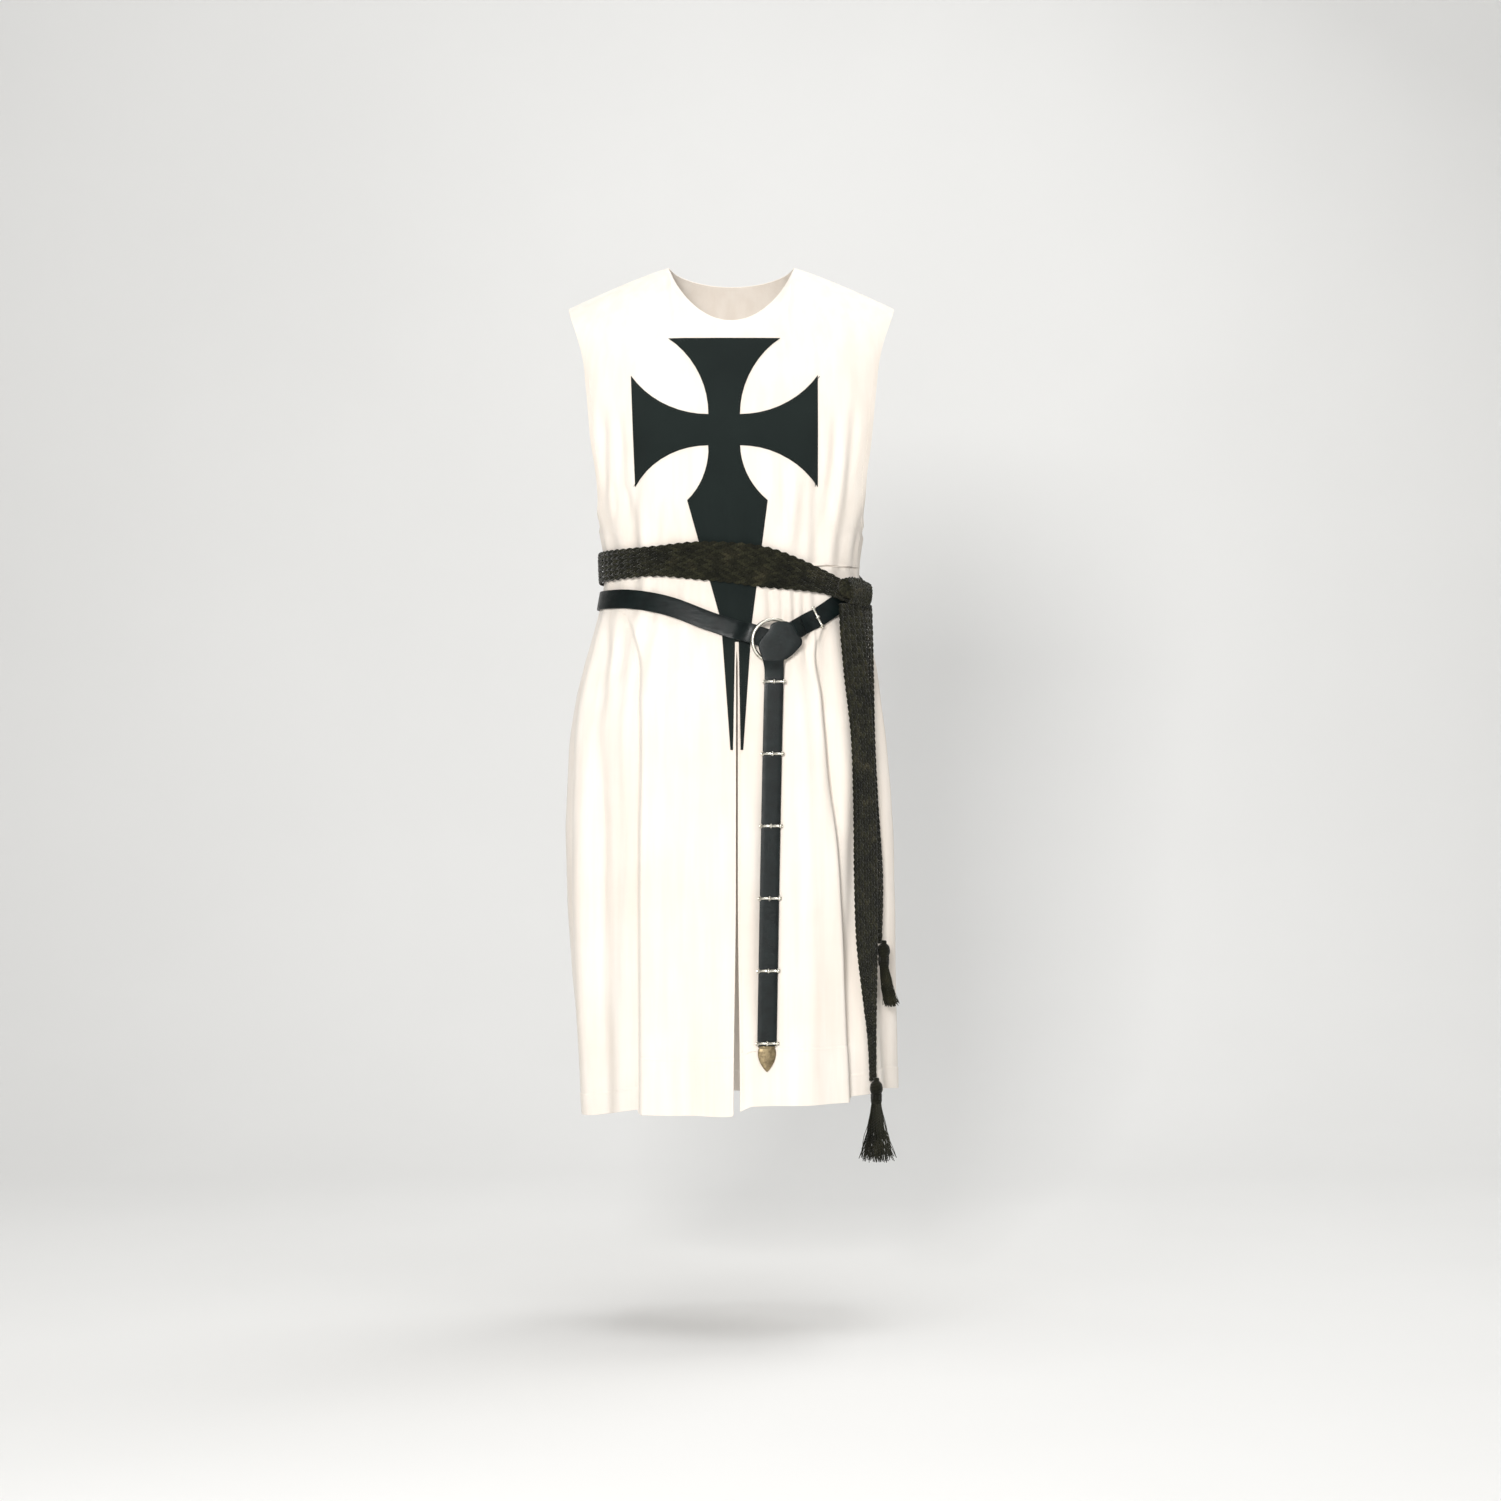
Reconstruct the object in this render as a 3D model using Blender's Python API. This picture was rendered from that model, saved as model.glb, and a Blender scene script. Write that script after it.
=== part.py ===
"""A knight's tabard, worn: a long sleeveless cloth surcoat with a cross sewn on its chest,
girded by a braided sash and a leather ring belt.

Metres, +Z up, the front faces -Y. The origin is at the height of the neck's shoulder points, in the middle
of the neck hole, where the wearer's shoulders carry the cloth. Left and right are as seen from the front.
Every cloth piece is a wall made from one function of arc and height, so neighbours meet at their seams.
"""

import math
from functools import lru_cache

import bpy
import numpy as np

# Driving sizes
LENGTH = 1.272
CLOTH = 0.0020
SEAM_GAP = 0.0003
BAND_CLEAR = 0.0010
SEAT = 0.0004
SHOULDER_HALF = 0.249
SHOULDER_RISE = 0.016
SHOULDER_DROP = 0.063
NECK_HALF = 0.095
NECK_FRONT = (-0.097, -0.078)
NECK_BACK = (0.074, -0.002)
LOFT_END = -0.160
ARMHOLE_END = -0.400
GORE_TOP = -0.445
GORE_TOP_HALF = 0.0016
WAIST = -0.450

# Plan outline of the body by height: half widths, depths to front and back, and how square it is
SECTION_COLUMNS = ("z", "left", "right", "front", "back", "square")
SECTIONS = (
    (-0.160, 0.250, 0.250, 0.118, 0.116, 2.5),
    (-0.250, 0.242, 0.242, 0.134, 0.126, 2.5),
    (-0.340, 0.219, 0.219, 0.134, 0.121, 2.4),
    (-0.400, 0.200, 0.200, 0.127, 0.113, 2.3),
    (-0.450, 0.194, 0.195, 0.120, 0.107, 2.3),
    (-0.500, 0.199, 0.200, 0.122, 0.112, 2.3),
    (-0.560, 0.215, 0.212, 0.133, 0.127, 2.3),
    (-0.660, 0.241, 0.228, 0.147, 0.146, 2.3),
    (-0.800, 0.253, 0.237, 0.157, 0.157, 2.2),
    (-1.000, 0.251, 0.241, 0.164, 0.163, 2.2),
    (-1.150, 0.241, 0.244, 0.168, 0.167, 2.2),
    (-1.272, 0.231, 0.247, 0.171, 0.170, 2.2),
)

# Armhole: arc from the side line to the edge of the front and of the back
ARMHOLE_COLUMNS = ("z", "front", "back")
ARMHOLE = (
    (-0.160, 0.078, 0.078),
    (-0.250, 0.088, 0.086),
    (-0.320, 0.076, 0.074),
    (-0.360, 0.054, 0.052),
    (-0.385, 0.027, 0.026),
    (-0.400, 0.000, 0.000),
)

# Seams between the front or back panel and the side gores: arc from the panel's middle
SEAM_COLUMNS = ("z", "front_left", "front_right", "back")
SEAMS = (
    (-0.460, 0.208, 0.208, 0.196),
    (-0.500, 0.184, 0.178, 0.184),
    (-0.560, 0.153, 0.142, 0.166),
    (-0.660, 0.146, 0.148, 0.156),
    (-0.890, 0.146, 0.172, 0.154),
    (-1.272, 0.146, 0.192, 0.158),
)

# Gathers under the belts: how far they stand out, by height
GATHER_COLUMNS = ("z", "height")
GATHERS = (
    (-0.260, 0.0000),
    (-0.360, 0.0018),
    (-0.410, 0.0024),
    (-0.450, 0.0014),
    (-0.510, 0.0018),
    (-0.540, 0.0024),
    (-0.610, 0.0040),
    (-0.720, 0.0024),
    (-0.880, 0.0000),
)
GATHER_WAVE = 0.036

# Long folds of the skirt and the chest: arcs at the top and bottom of the fold, negative to the left
FOLD_COLUMNS = ("arc_top", "arc_end", "z_top", "z_end", "height", "width")
FOLDS = (
    (-0.205, -0.212, -0.560, -1.272, -0.0110, 0.020),
    (-0.248, -0.246, -0.600, -1.272, 0.0100, 0.026),
    (-0.300, -0.330, -0.560, -1.272, -0.0170, 0.032),
    (-0.100, -0.062, -0.640, -1.272, -0.0075, 0.026),
    (-0.060, -0.016, -0.600, -1.272, 0.0055, 0.022),
    (0.045, 0.062, -0.560, -1.272, -0.0055, 0.020),
    (0.085, 0.112, -0.560, -1.272, 0.0095, 0.030),
    (0.165, 0.240, -0.600, -1.272, 0.0080, 0.024),
    (0.215, 0.296, -0.600, -1.272, -0.0120, 0.026),
    (0.270, 0.345, -0.560, -1.272, 0.0110, 0.030),
    (-0.360, -0.395, -0.560, -1.272, 0.0180, 0.034),
    (-0.415, -0.452, -0.600, -1.272, -0.0180, 0.030),
    (-0.465, -0.508, -0.560, -1.272, 0.0180, 0.030),
    (-0.510, -0.562, -0.560, -1.272, -0.0150, 0.028),
    (0.340, 0.400, -0.560, -1.272, -0.0170, 0.034),
    (0.400, 0.458, -0.600, -1.272, 0.0180, 0.032),
    (0.450, 0.515, -0.560, -1.272, -0.0180, 0.028),
    (0.495, 0.570, -0.560, -1.272, 0.0160, 0.030),
    (-0.165, -0.150, -0.200, -0.520, -0.0060, 0.014),
    (-0.140, -0.125, -0.260, -0.520, 0.0040, 0.012),
    (0.150, 0.120, -0.260, -0.520, -0.0050, 0.014),
    (0.175, 0.150, -0.220, -0.520, 0.0035, 0.013),
    (0.340, 0.400, -0.200, -0.520, 0.0050, 0.030),
    (-0.340, -0.400, -0.200, -0.520, 0.0050, 0.030),
)

# Pleats at the front seams: the panel's edge stands proud and drops to the gore
PLEAT_HEIGHT = 0.011
PLEAT_CRISP = 0.0050
PLEAT_REACH = 0.045
PLEAT_SET = 0.0075
PLEAT_FULL = 0.140

# Slit in the middle of the front
SLIT_ARC = 0.009
SLIT_TOP = -0.562
SLIT_HALF = 0.0016
SLIT_HEM_HALF = 0.0050
FLAP_OUT = 0.0030
FLAP_IN = 0.0065
FLAP_REACH = 0.022

# Hem: its height by arc; it steps at the front seams, and the right half hangs shorter
HEM_COLUMNS = ("arc", "z")
HEM = (
    (-0.620, -1.264),
    (-0.300, -1.275),
    (-0.230, -1.272),
    (-0.1463, -1.258),
    (-0.1457, -1.264),
    (0.000, -1.264),
    (0.030, -1.250),
    (0.1915, -1.247),
    (0.1925, -1.241),
    (0.280, -1.235),
    (0.420, -1.250),
    (0.620, -1.264),
)

# Cross sewn on the chest: three arms of one length and a long tapered foot
CROSS_CENTRE = (-0.010, -0.2460)
CROSS_NECK = 0.0235
CROSS_ARM = 0.140
CROSS_ARM_HALF = 0.084
CROSS_FOOT_FLARE = 0.105
CROSS_FOOT_HALF = 0.060
CROSS_FOOT_TAPER = 0.285
CROSS_FOOT_TAPER_HALF = 0.0230
CROSS_FOOT_END = 0.477
CROSS_FOOT_END_HALF = 0.0095
CROSS_SLIT_MARGIN = 0.0040
CROSS_SLIT_MARGIN_TOP = 0.0012
CROSS_THICK = 0.0012
ARC_STEPS = 9

# Braided sash
SASH_COLUMNS = ("x", "z", "half")
SASH_LINE = (
    (-0.2000, -0.4460, 0.0235),
    (-0.1150, -0.4400, 0.0225),
    (-0.0460, -0.4400, 0.0285),
    (0.0000, -0.4430, 0.0300),
    (0.0440, -0.4490, 0.0305),
    (0.1050, -0.4630, 0.0225),
    (0.1380, -0.4735, 0.0170),
    (0.1700, -0.4880, 0.0155),
    (0.2000, -0.4900, 0.0190),
)
SASH_BACK_Z = -0.4460
SASH_BACK_HALF = 0.0280
SASH_THICK = 0.0060
SASH_STATIONS = 48

# Hanging sash ends: x and half width by height
END_COLUMNS = ("z", "long_x", "long_half", "short_x", "short_half")
SASH_ENDS = (
    (-0.490, 0.164, 0.0220, 0.190, 0.0165),
    (-0.530, 0.167, 0.0240, 0.192, 0.0185),
    (-0.600, 0.175, 0.0240, 0.1955, 0.0200),
    (-0.700, 0.188, 0.0230, 0.2005, 0.0210),
    (-0.800, 0.194, 0.0240, 0.2085, 0.0210),
    (-0.920, 0.197, 0.0250, 0.2175, 0.0200),
    (-1.015, 0.199, 0.0230, 0.224, 0.0075),
    (-1.090, 0.202, 0.0160, 0.224, 0.0075),
    (-1.160, 0.205, 0.0090, 0.224, 0.0075),
    (-1.218, 0.206, 0.0070, 0.224, 0.0075),
)
END_THICK = 0.0055
END_SLOPE = 0.30
LONG_END_Z = -1.2180
SHORT_END_Z = -1.0150
END_ROWS = 16
ENDS_TOP = -0.5040
KNOT_COLUMNS = ("arc", "z", "half", "thick")
KNOT = (
    (-0.0300, -0.4800, 0.0070, 0.0080),
    (-0.0280, -0.4805, 0.0120, 0.0120),
    (-0.0160, -0.4835, 0.0175, 0.0170),
    (0.0000, -0.4870, 0.0190, 0.0190),
    (0.0160, -0.4895, 0.0165, 0.0170),
    (0.0280, -0.4905, 0.0115, 0.0120),
    (0.0300, -0.4910, 0.0065, 0.0080),
)
KNOT_X = 0.1740

# Tassels: each has its length, spread, lean along the cloth, reach forward and depth of its cone
TASSEL_STRANDS = 24
STRAND_SIDES = 3
TASSEL_HEAD = 0.0095
LONG_TASSEL = (0.120, 0.030, 0.002, 0.00, 1.00)
SHORT_TASSEL = (0.096, 0.018, 0.018, 0.35, 0.35)

# Leather ring belt
BELT_HALF = 0.0145
BELT_THICK = 0.0025
BELT_COLUMNS = ("x", "z")
BELT_LEFT = (
    (-0.2050, -0.4960),
    (-0.1500, -0.4970),
    (-0.0980, -0.5070),
    (-0.0300, -0.5330),
    (0.0160, -0.5490),
)
BELT_RIGHT = (
    (0.1110, -0.5350),
    (0.1350, -0.5215),
    (0.1550, -0.5060),
    (0.1750, -0.4980),
    (0.2050, -0.4960),
)
BELT_BACK_Z = -0.4960
BELT_LEFT_END = 0.0060
BELT_RIGHT_END = 0.1130
BELT_RIGHT_TURN = 26.0
BELT_LEFT_TURN = 162.0
LOOP_END = 0.62
RING_X = 0.0612
RING_Z = -0.5605
RING_RADIUS = 0.0312
RING_WIRE = 0.0028

# Long end of the belt: its folded head over the ring, from the ring's middle
HEAD_COLUMNS = ("x", "z", "half", "out")
TONGUE_HEAD = (
    (0.0125, 0.0282, 0.0060, 0.0000),
    (0.0123, 0.0268, 0.0110, 0.0000),
    (0.0119, 0.0235, 0.0162, 0.0000),
    (0.0121, 0.0165, 0.0192, 0.0000),
    (0.0118, 0.0090, 0.0245, 0.0000),
    (0.0108, 0.0020, 0.0305, 0.0000),
    (0.0092, -0.0050, 0.0325, 0.0000),
    (0.0062, -0.0135, 0.0290, 0.0000),
    (0.0036, -0.0225, 0.0228, 0.0000),
    (-0.0010, -0.0305, 0.0158, 0.0000),
)
TONGUE_END = -1.1605
TONGUE_ROWS = 14
TONGUE_END_X = 0.0535
TIP_LENGTH = 0.0380
BAR_PITCH = 0.1071
BAR_FIRST = -0.6215
BAR_SIZE = (0.0175, 0.0030, 0.0015)
BAR_COUNT = 6
STRAP_BAR = 0.1350

# Grid of the cloth
LOFT_ROWS = (0.0, 0.16, 0.36, 0.58, 0.80)
BODY_ROWS = (
    -0.160, -0.195, -0.230, -0.265, -0.300, -0.330, -0.360, -0.383, -0.400, -0.420, -0.445,
    -0.460, -0.480, -0.505, -0.530, -0.560, -0.600, -0.650, -0.710, -0.780, -0.860, -0.940,
    -1.030, -1.120, -1.200, -1.272,
)
HALF_COLUMNS = 17
BACK_COLUMNS = 23
GORE_COLUMNS = 9
SECTION_STEPS = 120
STEP = 0.0008

COLOURS = {
    "cloth": ((0.86, 0.80, 0.68), 0.90, 0.0),
    "black_cloth": ((0.012, 0.018, 0.016), 0.95, 0.0),
    "braid": ((0.030, 0.031, 0.020), 0.90, 0.0),
    "leather": ((0.012, 0.013, 0.013), 0.45, 0.0),
    "silver": ((0.72, 0.70, 0.64), 0.30, 1.0),
    "bronze": ((0.30, 0.24, 0.13), 0.42, 1.0),
}


def column(table, names, name):
    """One named column of a table as an array."""
    return np.array([row[names.index(name)] for row in table], float)


def smooth(x, xs, ys):
    """A curve through the table's points with no overshoot at its ends; xs may rise or fall."""
    xs, ys = np.asarray(xs, float), np.asarray(ys, float)
    if xs[0] > xs[-1]:
        xs, ys = xs[::-1], ys[::-1]
    slopes = np.gradient(ys, xs)
    x = np.clip(x, xs[0], xs[-1])
    i = np.clip(np.searchsorted(xs, x, side="right") - 1, 0, len(xs) - 2)
    span = xs[i + 1] - xs[i]
    t = (x - xs[i]) / span
    return (
        (2 * t**3 - 3 * t**2 + 1) * ys[i]
        + (t**3 - 2 * t**2 + t) * span * slopes[i]
        + (3 * t**2 - 2 * t**3) * ys[i + 1]
        + (t**3 - t**2) * span * slopes[i + 1]
    )


def ease(x):
    """0 to 1 with flat ends."""
    x = np.clip(x, 0.0, 1.0)
    return x * x * (3 - 2 * x)


def unit(v):
    v = np.asarray(v, float)
    return v / np.maximum(np.linalg.norm(v, axis=-1, keepdims=True), 1e-12)


@lru_cache(maxsize=None)
def outline(z):
    """The plan outline at height z: arc from the front's middle (negative to the left), x and y."""
    rows = column(SECTIONS, SECTION_COLUMNS, "z")
    left, right, front, back, square = (
        float(smooth(z, rows, column(SECTIONS, SECTION_COLUMNS, name)))
        for name in SECTION_COLUMNS[1:]
    )
    turn = np.linspace(0, math.pi, 2 * SECTION_STEPS + 1)
    power = 2 / square
    side = np.sin(turn) ** power
    ahead = -np.sign(np.cos(turn)) * np.abs(np.cos(turn)) ** power
    y = ahead * np.where(ahead < 0, front, back)
    halves = []
    for half_width in (left, right):
        x = side * half_width
        arc = np.concatenate([[0], np.cumsum(np.hypot(np.diff(x), np.diff(y)))])
        halves.append((arc, x))
    (arc_l, x_l), (arc_r, x_r) = halves
    return (
        np.concatenate([-arc_l[:0:-1], arc_r]),
        np.concatenate([-x_l[:0:-1], x_r]),
        np.concatenate([y[:0:-1], y]),
    )


def side_arc(z, way):
    """Arc from the front's middle to the side line; way is -1 to the left and 1 to the right."""
    arc = outline(z)[0]
    return abs(arc[2 * SECTION_STEPS + way * SECTION_STEPS])


def back_arc(z, way):
    """Arc from the front's middle to the back's middle."""
    return abs(outline(z)[0][0 if way < 0 else -1])


def arc_at_x(z, x):
    """The arc on the front at which the plan outline has this x."""
    arc, xs, _ = outline(z)
    front = slice(SECTION_STEPS, 3 * SECTION_STEPS + 1)
    return np.interp(x, xs[front], arc[front])


def plan(arc, z):
    """Points and outward normals of the plan outline at height z, in x and y."""
    arcs, xs, ys = outline(round(float(z), 6))
    here = np.stack([np.interp(arc, arcs, xs), np.interp(arc, arcs, ys)], -1)
    ahead = np.stack([np.interp(arc + STEP * 4, arcs, xs), np.interp(arc + STEP * 4, arcs, ys)], -1)
    behind = np.stack([np.interp(arc - STEP * 4, arcs, xs), np.interp(arc - STEP * 4, arcs, ys)], -1)
    along = unit(ahead - behind)
    return here, np.stack([along[..., 1], -along[..., 0]], -1)


def front_seam(z, way):
    """Arc of the seam between the front and a gore."""
    name = "front_left" if way < 0 else "front_right"
    rows = column(SEAMS, SEAM_COLUMNS, "z")
    below = float(smooth(z, rows, column(SEAMS, SEAM_COLUMNS, name)))
    side = side_arc(z, way)
    if z >= GORE_TOP:
        return side - (GORE_TOP_HALF if z == GORE_TOP else 0.0)
    return min(below, side - GORE_TOP_HALF)


def back_seam(z, way):
    """Arc of the seam between the back and a gore, from the front's middle."""
    rows = column(SEAMS, SEAM_COLUMNS, "z")
    below = float(smooth(z, rows, column(SEAMS, SEAM_COLUMNS, "back")))
    side, end = side_arc(z, way), back_arc(z, way)
    if z >= GORE_TOP:
        return side + (GORE_TOP_HALF if z == GORE_TOP else 0.0)
    return max(end - below, side + GORE_TOP_HALF)


def armhole(z, name):
    rows = column(ARMHOLE, ARMHOLE_COLUMNS, "z")
    return max(0.0, float(np.interp(-z, -rows, column(ARMHOLE, ARMHOLE_COLUMNS, name))))


def front_edge(z, way):
    """Arc of the front panel's edge: the armhole, the side seam or the gore's seam."""
    if z > ARMHOLE_END:
        return side_arc(z, way) - armhole(z, "front")
    return front_seam(z, way)


def back_edge(z, way):
    if z > ARMHOLE_END:
        return side_arc(z, way) + armhole(z, "back")
    return back_seam(z, way)


def gathers(arc, z):
    """Small uneven waves that the belts press into the cloth."""
    rows = column(GATHERS, GATHER_COLUMNS, "z")
    height = float(np.interp(-z, -rows, column(GATHERS, GATHER_COLUMNS, "height")))
    at_waist = arc * back_arc(WAIST, 1) / back_arc(z, 1)
    phase = 2 * math.pi * at_waist / GATHER_WAVE
    return height * (0.7 * np.sin(phase + 0.6 * np.sin(phase * 0.31)) + 0.3 * np.sin(phase * 0.53 + 1.9))


def long_folds(arc, z):
    total = np.zeros_like(arc)
    for arc_top, arc_end, z_top, z_end, height, width in FOLDS:
        down = (z_top - z) / (z_top - z_end)
        if down <= 0 or (z_end > -LENGTH and down >= 1.2):
            continue
        grown = ease(down / 0.45)
        if z_end > -LENGTH:
            grown *= ease((1.2 - down) / 0.6)
        middle = arc_top + (arc_end - arc_top) * down
        total += height * grown * np.exp(-(((arc - middle) / width) ** 2))
    return total


def pleats(arc, z):
    """The front panel's two edges, each a ridge that drops steeply to the gore."""
    grown = ease((GORE_TOP - 0.045 - z) / PLEAT_FULL)
    total = np.zeros_like(arc)
    for way in (-1, 1):
        inward = front_seam(z, way) - PLEAT_SET - way * arc
        total += np.tanh(inward / PLEAT_CRISP) * np.exp(-np.abs(inward) / PLEAT_REACH)
    return PLEAT_HEIGHT * grown * total


def slit_half(z):
    """Half the slit's width."""
    down = (SLIT_TOP - z) / (SLIT_TOP + LENGTH)
    return SLIT_HALF * ease(down / 0.06) + (SLIT_HEM_HALF - SLIT_HALF) * ease((down - 0.5) / 0.5)


def slit_arc(z):
    return SLIT_ARC * ease((CROSS_CENTRE[1] - z) / (CROSS_CENTRE[1] - SLIT_TOP))


def flap(arc, z, way):
    """The left flap lies a little outside the right one."""
    grown = ease((SLIT_TOP - z) / 0.15)
    near = np.exp(-np.abs(arc - slit_arc(z)) / FLAP_REACH)
    return grown * near * (FLAP_OUT if way < 0 else -FLAP_IN)


def hem_stretch(arc, z):
    """The real height of a point of the row z: rows spread so that the last one is the hem."""
    if z >= WAIST:
        return np.full_like(arc, z)
    low = np.interp(arc, column(HEM, HEM_COLUMNS, "arc"), column(HEM, HEM_COLUMNS, "z"))
    return WAIST + (z - WAIST) * (low - WAIST) / (-LENGTH - WAIST)


def body(arc, z, way=0, out=0.0):
    """Points of the worn cloth's outer face for a row z, moved out by out. way picks the slit's flap."""
    arc = np.asarray(arc, float)
    here, outward = plan(arc, z)
    height = gathers(arc, z) + long_folds(arc, z) + pleats(arc, z) + out
    if way:
        height = height + flap(arc, z, way)
    flat = here + outward * height[..., None]
    return np.concatenate([flat, hem_stretch(arc, z)[..., None]], -1)


def body_normal(arc, z, way=0):
    arc = np.asarray(arc, float)
    across = body(arc + STEP, z, way) - body(arc - STEP, z, way)
    down = body(arc, z - STEP * 2, way) - body(arc, min(z + STEP * 2, LOFT_END), way)
    return unit(np.cross(down, across))


def shoulder(share, front):
    """Point and downward direction on the top edge; share is 0 in the middle and 1 at the shoulder tip."""
    face = -1 if front else 1
    neck_share = NECK_HALF / SHOULDER_HALF
    size = abs(share)
    if size >= neck_share:
        along = (size - neck_share) / (1 - neck_share)
        point = (share * SHOULDER_HALF, 0.0, SHOULDER_RISE - SHOULDER_DROP * along**1.15)
        return np.array(point), unit((0.0, face, -0.30))
    deep_y, deep_z = NECK_FRONT if front else NECK_BACK
    inside = 1 - (size / neck_share) ** 2
    height = SHOULDER_RISE + (deep_z - SHOULDER_RISE) * inside**0.75
    point = (share * SHOULDER_HALF, deep_y * inside**0.5, height)
    return np.array(point), unit((0.0, face * (1 - 0.45 * inside), -0.30 - 0.70 * inside))


def loft(arcs, shares, front):
    """Rows from the shoulders and the neck down to the first row of the body."""
    low = body(arcs, LOFT_END)
    low_way = unit(body(arcs, LOFT_END - 0.01) - low)
    rows = []
    for q in LOFT_ROWS:
        row = []
        for i, share in enumerate(shares):
            top, top_way = shoulder(share, front)
            reach = 1.1 * np.linalg.norm(low[i] - top)
            row.append(
                (2 * q**3 - 3 * q**2 + 1) * top
                + (q**3 - 2 * q**2 + q) * reach * top_way
                + (3 * q**2 - 2 * q**3) * low[i]
                + (q**3 - q**2) * reach * low_way[i]
            )
        rows.append(row)
    return np.array(rows)


def grid_normals(points):
    """Outward normals of a grid of rows and columns from its neighbours."""
    across = np.gradient(points, axis=1)
    down = np.gradient(points, axis=0)
    return unit(np.cross(down, across))


def seam_normals(shares):
    """Normals on the shoulder seam, the same for front and back."""
    slope = math.atan2(SHOULDER_DROP, SHOULDER_HALF - NECK_HALF)
    return np.array([(math.copysign(math.sin(slope), s), 0.0, math.cos(slope)) for s in shares])


def panel(shares, front, way=0):
    """Outer points and normals of the front or back, from the top edge to the hem.

    shares are the columns, -1 at the left edge, 0 in the middle and 1 at the right edge.
    """
    shares = np.asarray(shares, float)
    arcs_by_row = [panel_arcs(shares, z, front, way) for z in BODY_ROWS]
    upper = loft(arcs_by_row[0], shares, front)
    lower = np.array([body(arcs, z, way) for arcs, z in zip(arcs_by_row, BODY_ROWS)])
    points = np.concatenate([upper, lower])
    normals = grid_normals(points)
    on_seam = np.abs(shares) >= NECK_HALF / SHOULDER_HALF
    normals[0][on_seam] = seam_normals(shares)[on_seam]
    points[0][on_seam] += np.array((0.0, (-1 if front else 1) * SEAM_GAP / 2, 0.0))
    for j, (arcs, z) in enumerate(zip(arcs_by_row, BODY_ROWS)):
        if z <= ARMHOLE_END:
            normals[len(LOFT_ROWS) + j] = body_normal(arcs, z, way)
    return points, normals


def panel_arcs(shares, z, front, way):
    """Arcs of a panel's columns at the row z, edges moved back by half the seam gap."""
    edge = front_edge if front else back_edge
    inset = SEAM_GAP / 2 if z <= ARMHOLE_END else 0.0
    left, right = edge(z, -1), edge(z, 1)
    if front:
        middle = slit_arc(z) + way * slit_half(z)
        ends = (-left + inset, middle, right - inset)
        return np.interp(shares, (-1, 0, 1), ends)
    behind_left, behind_right = back_arc(z, -1), back_arc(z, 1)
    arcs_right = behind_right + (right + inset - behind_right) * shares
    arcs_left = -behind_left - (behind_left - left - inset) * shares
    return np.where(shares >= 0, arcs_right, arcs_left)


def column_shares(count):
    """Columns from the middle to the edge, closer together at the edge where the pleat is."""
    even = np.linspace(0, 1, count)
    return 1 - (1 - even) * (0.45 + 0.55 * (1 - even) ** 0.9) / 1.0


def grid_faces(index):
    """Two triangles for each cell of a grid of vertex numbers, always cut along the same diagonal."""
    faces = []
    for j in range(index.shape[0] - 1):
        for i in range(index.shape[1] - 1):
            a, b, c, d = index[j, i], index[j, i + 1], index[j + 1, i + 1], index[j + 1, i]
            faces += [(a, d, c), (a, c, b)]
    return faces


def wall(name, outer, inner, faces, colour):
    """A closed wall between two faces with the same triangles."""
    count = len(outer)
    edges = {}
    for a, b, c in faces:
        for edge in ((a, b), (b, c), (c, a)):
            edges[edge] = True
    rim = [(a, b) for a, b in edges if (b, a) not in edges]
    all_faces = list(faces)
    all_faces += [(c + count, b + count, a + count) for a, b, c in faces]
    for a, b in rim:
        if outer[a][2] >= outer[b][2]:
            all_faces += [(b, a, b + count), (a, a + count, b + count)]
        else:
            all_faces += [(b, a, a + count), (b, a + count, b + count)]
    return solid(name, np.concatenate([outer, inner]), all_faces, colour)


def solid(name, points, faces, colour):
    mesh = bpy.data.meshes.new(name)
    mesh.from_pydata([tuple(map(float, p)) for p in points], [], [tuple(map(int, f)) for f in faces])
    mesh.validate()
    mesh.update()
    mesh.materials.append(material(colour))
    mesh.shade_smooth()
    mesh.set_sharp_from_angle(angle=math.radians(40))
    thing = bpy.data.objects.new(name, mesh)
    bpy.context.scene.collection.objects.link(thing)
    return thing


def material(name):
    found = bpy.data.materials.get(name)
    if found:
        return found
    colour, rough, metal = COLOURS[name]
    made = bpy.data.materials.new(name)
    made.use_nodes = True
    shader = made.node_tree.nodes["Principled BSDF"]
    shader.inputs["Base Color"].default_value = (*colour, 1)
    shader.inputs["Roughness"].default_value = rough
    shader.inputs["Metallic"].default_value = metal
    return made


def front_grid():
    """The front's outer points, normals and triangles; below the slit's top the middle column is double."""
    half = column_shares(HALF_COLUMNS)
    left_points, left_normals = panel(-half[::-1], True, -1)
    right_points, right_normals = panel(half, True, 1)
    rows = left_points.shape[0]
    split = len(LOFT_ROWS) + sum(z >= SLIT_TOP for z in BODY_ROWS)
    left = np.arange(rows * HALF_COLUMNS).reshape(rows, HALF_COLUMNS)
    right = left + rows * HALF_COLUMNS
    right[:split, 0] = left[:split, -1]
    points = np.concatenate([left_points.reshape(-1, 3), right_points.reshape(-1, 3)])
    normals = np.concatenate([left_normals.reshape(-1, 3), right_normals.reshape(-1, 3)])
    return points, normals, grid_faces(left) + grid_faces(right)


def used_only(points, normals, faces):
    """Drops the points that no triangle uses."""
    keep = sorted({v for face in faces for v in face})
    number = {v: i for i, v in enumerate(keep)}
    return points[keep], normals[keep], [tuple(number[v] for v in face) for face in faces]


def make_front():
    points, normals, faces = used_only(*front_grid())
    wall("front", points, points - normals * CLOTH, faces, "cloth")


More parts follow.
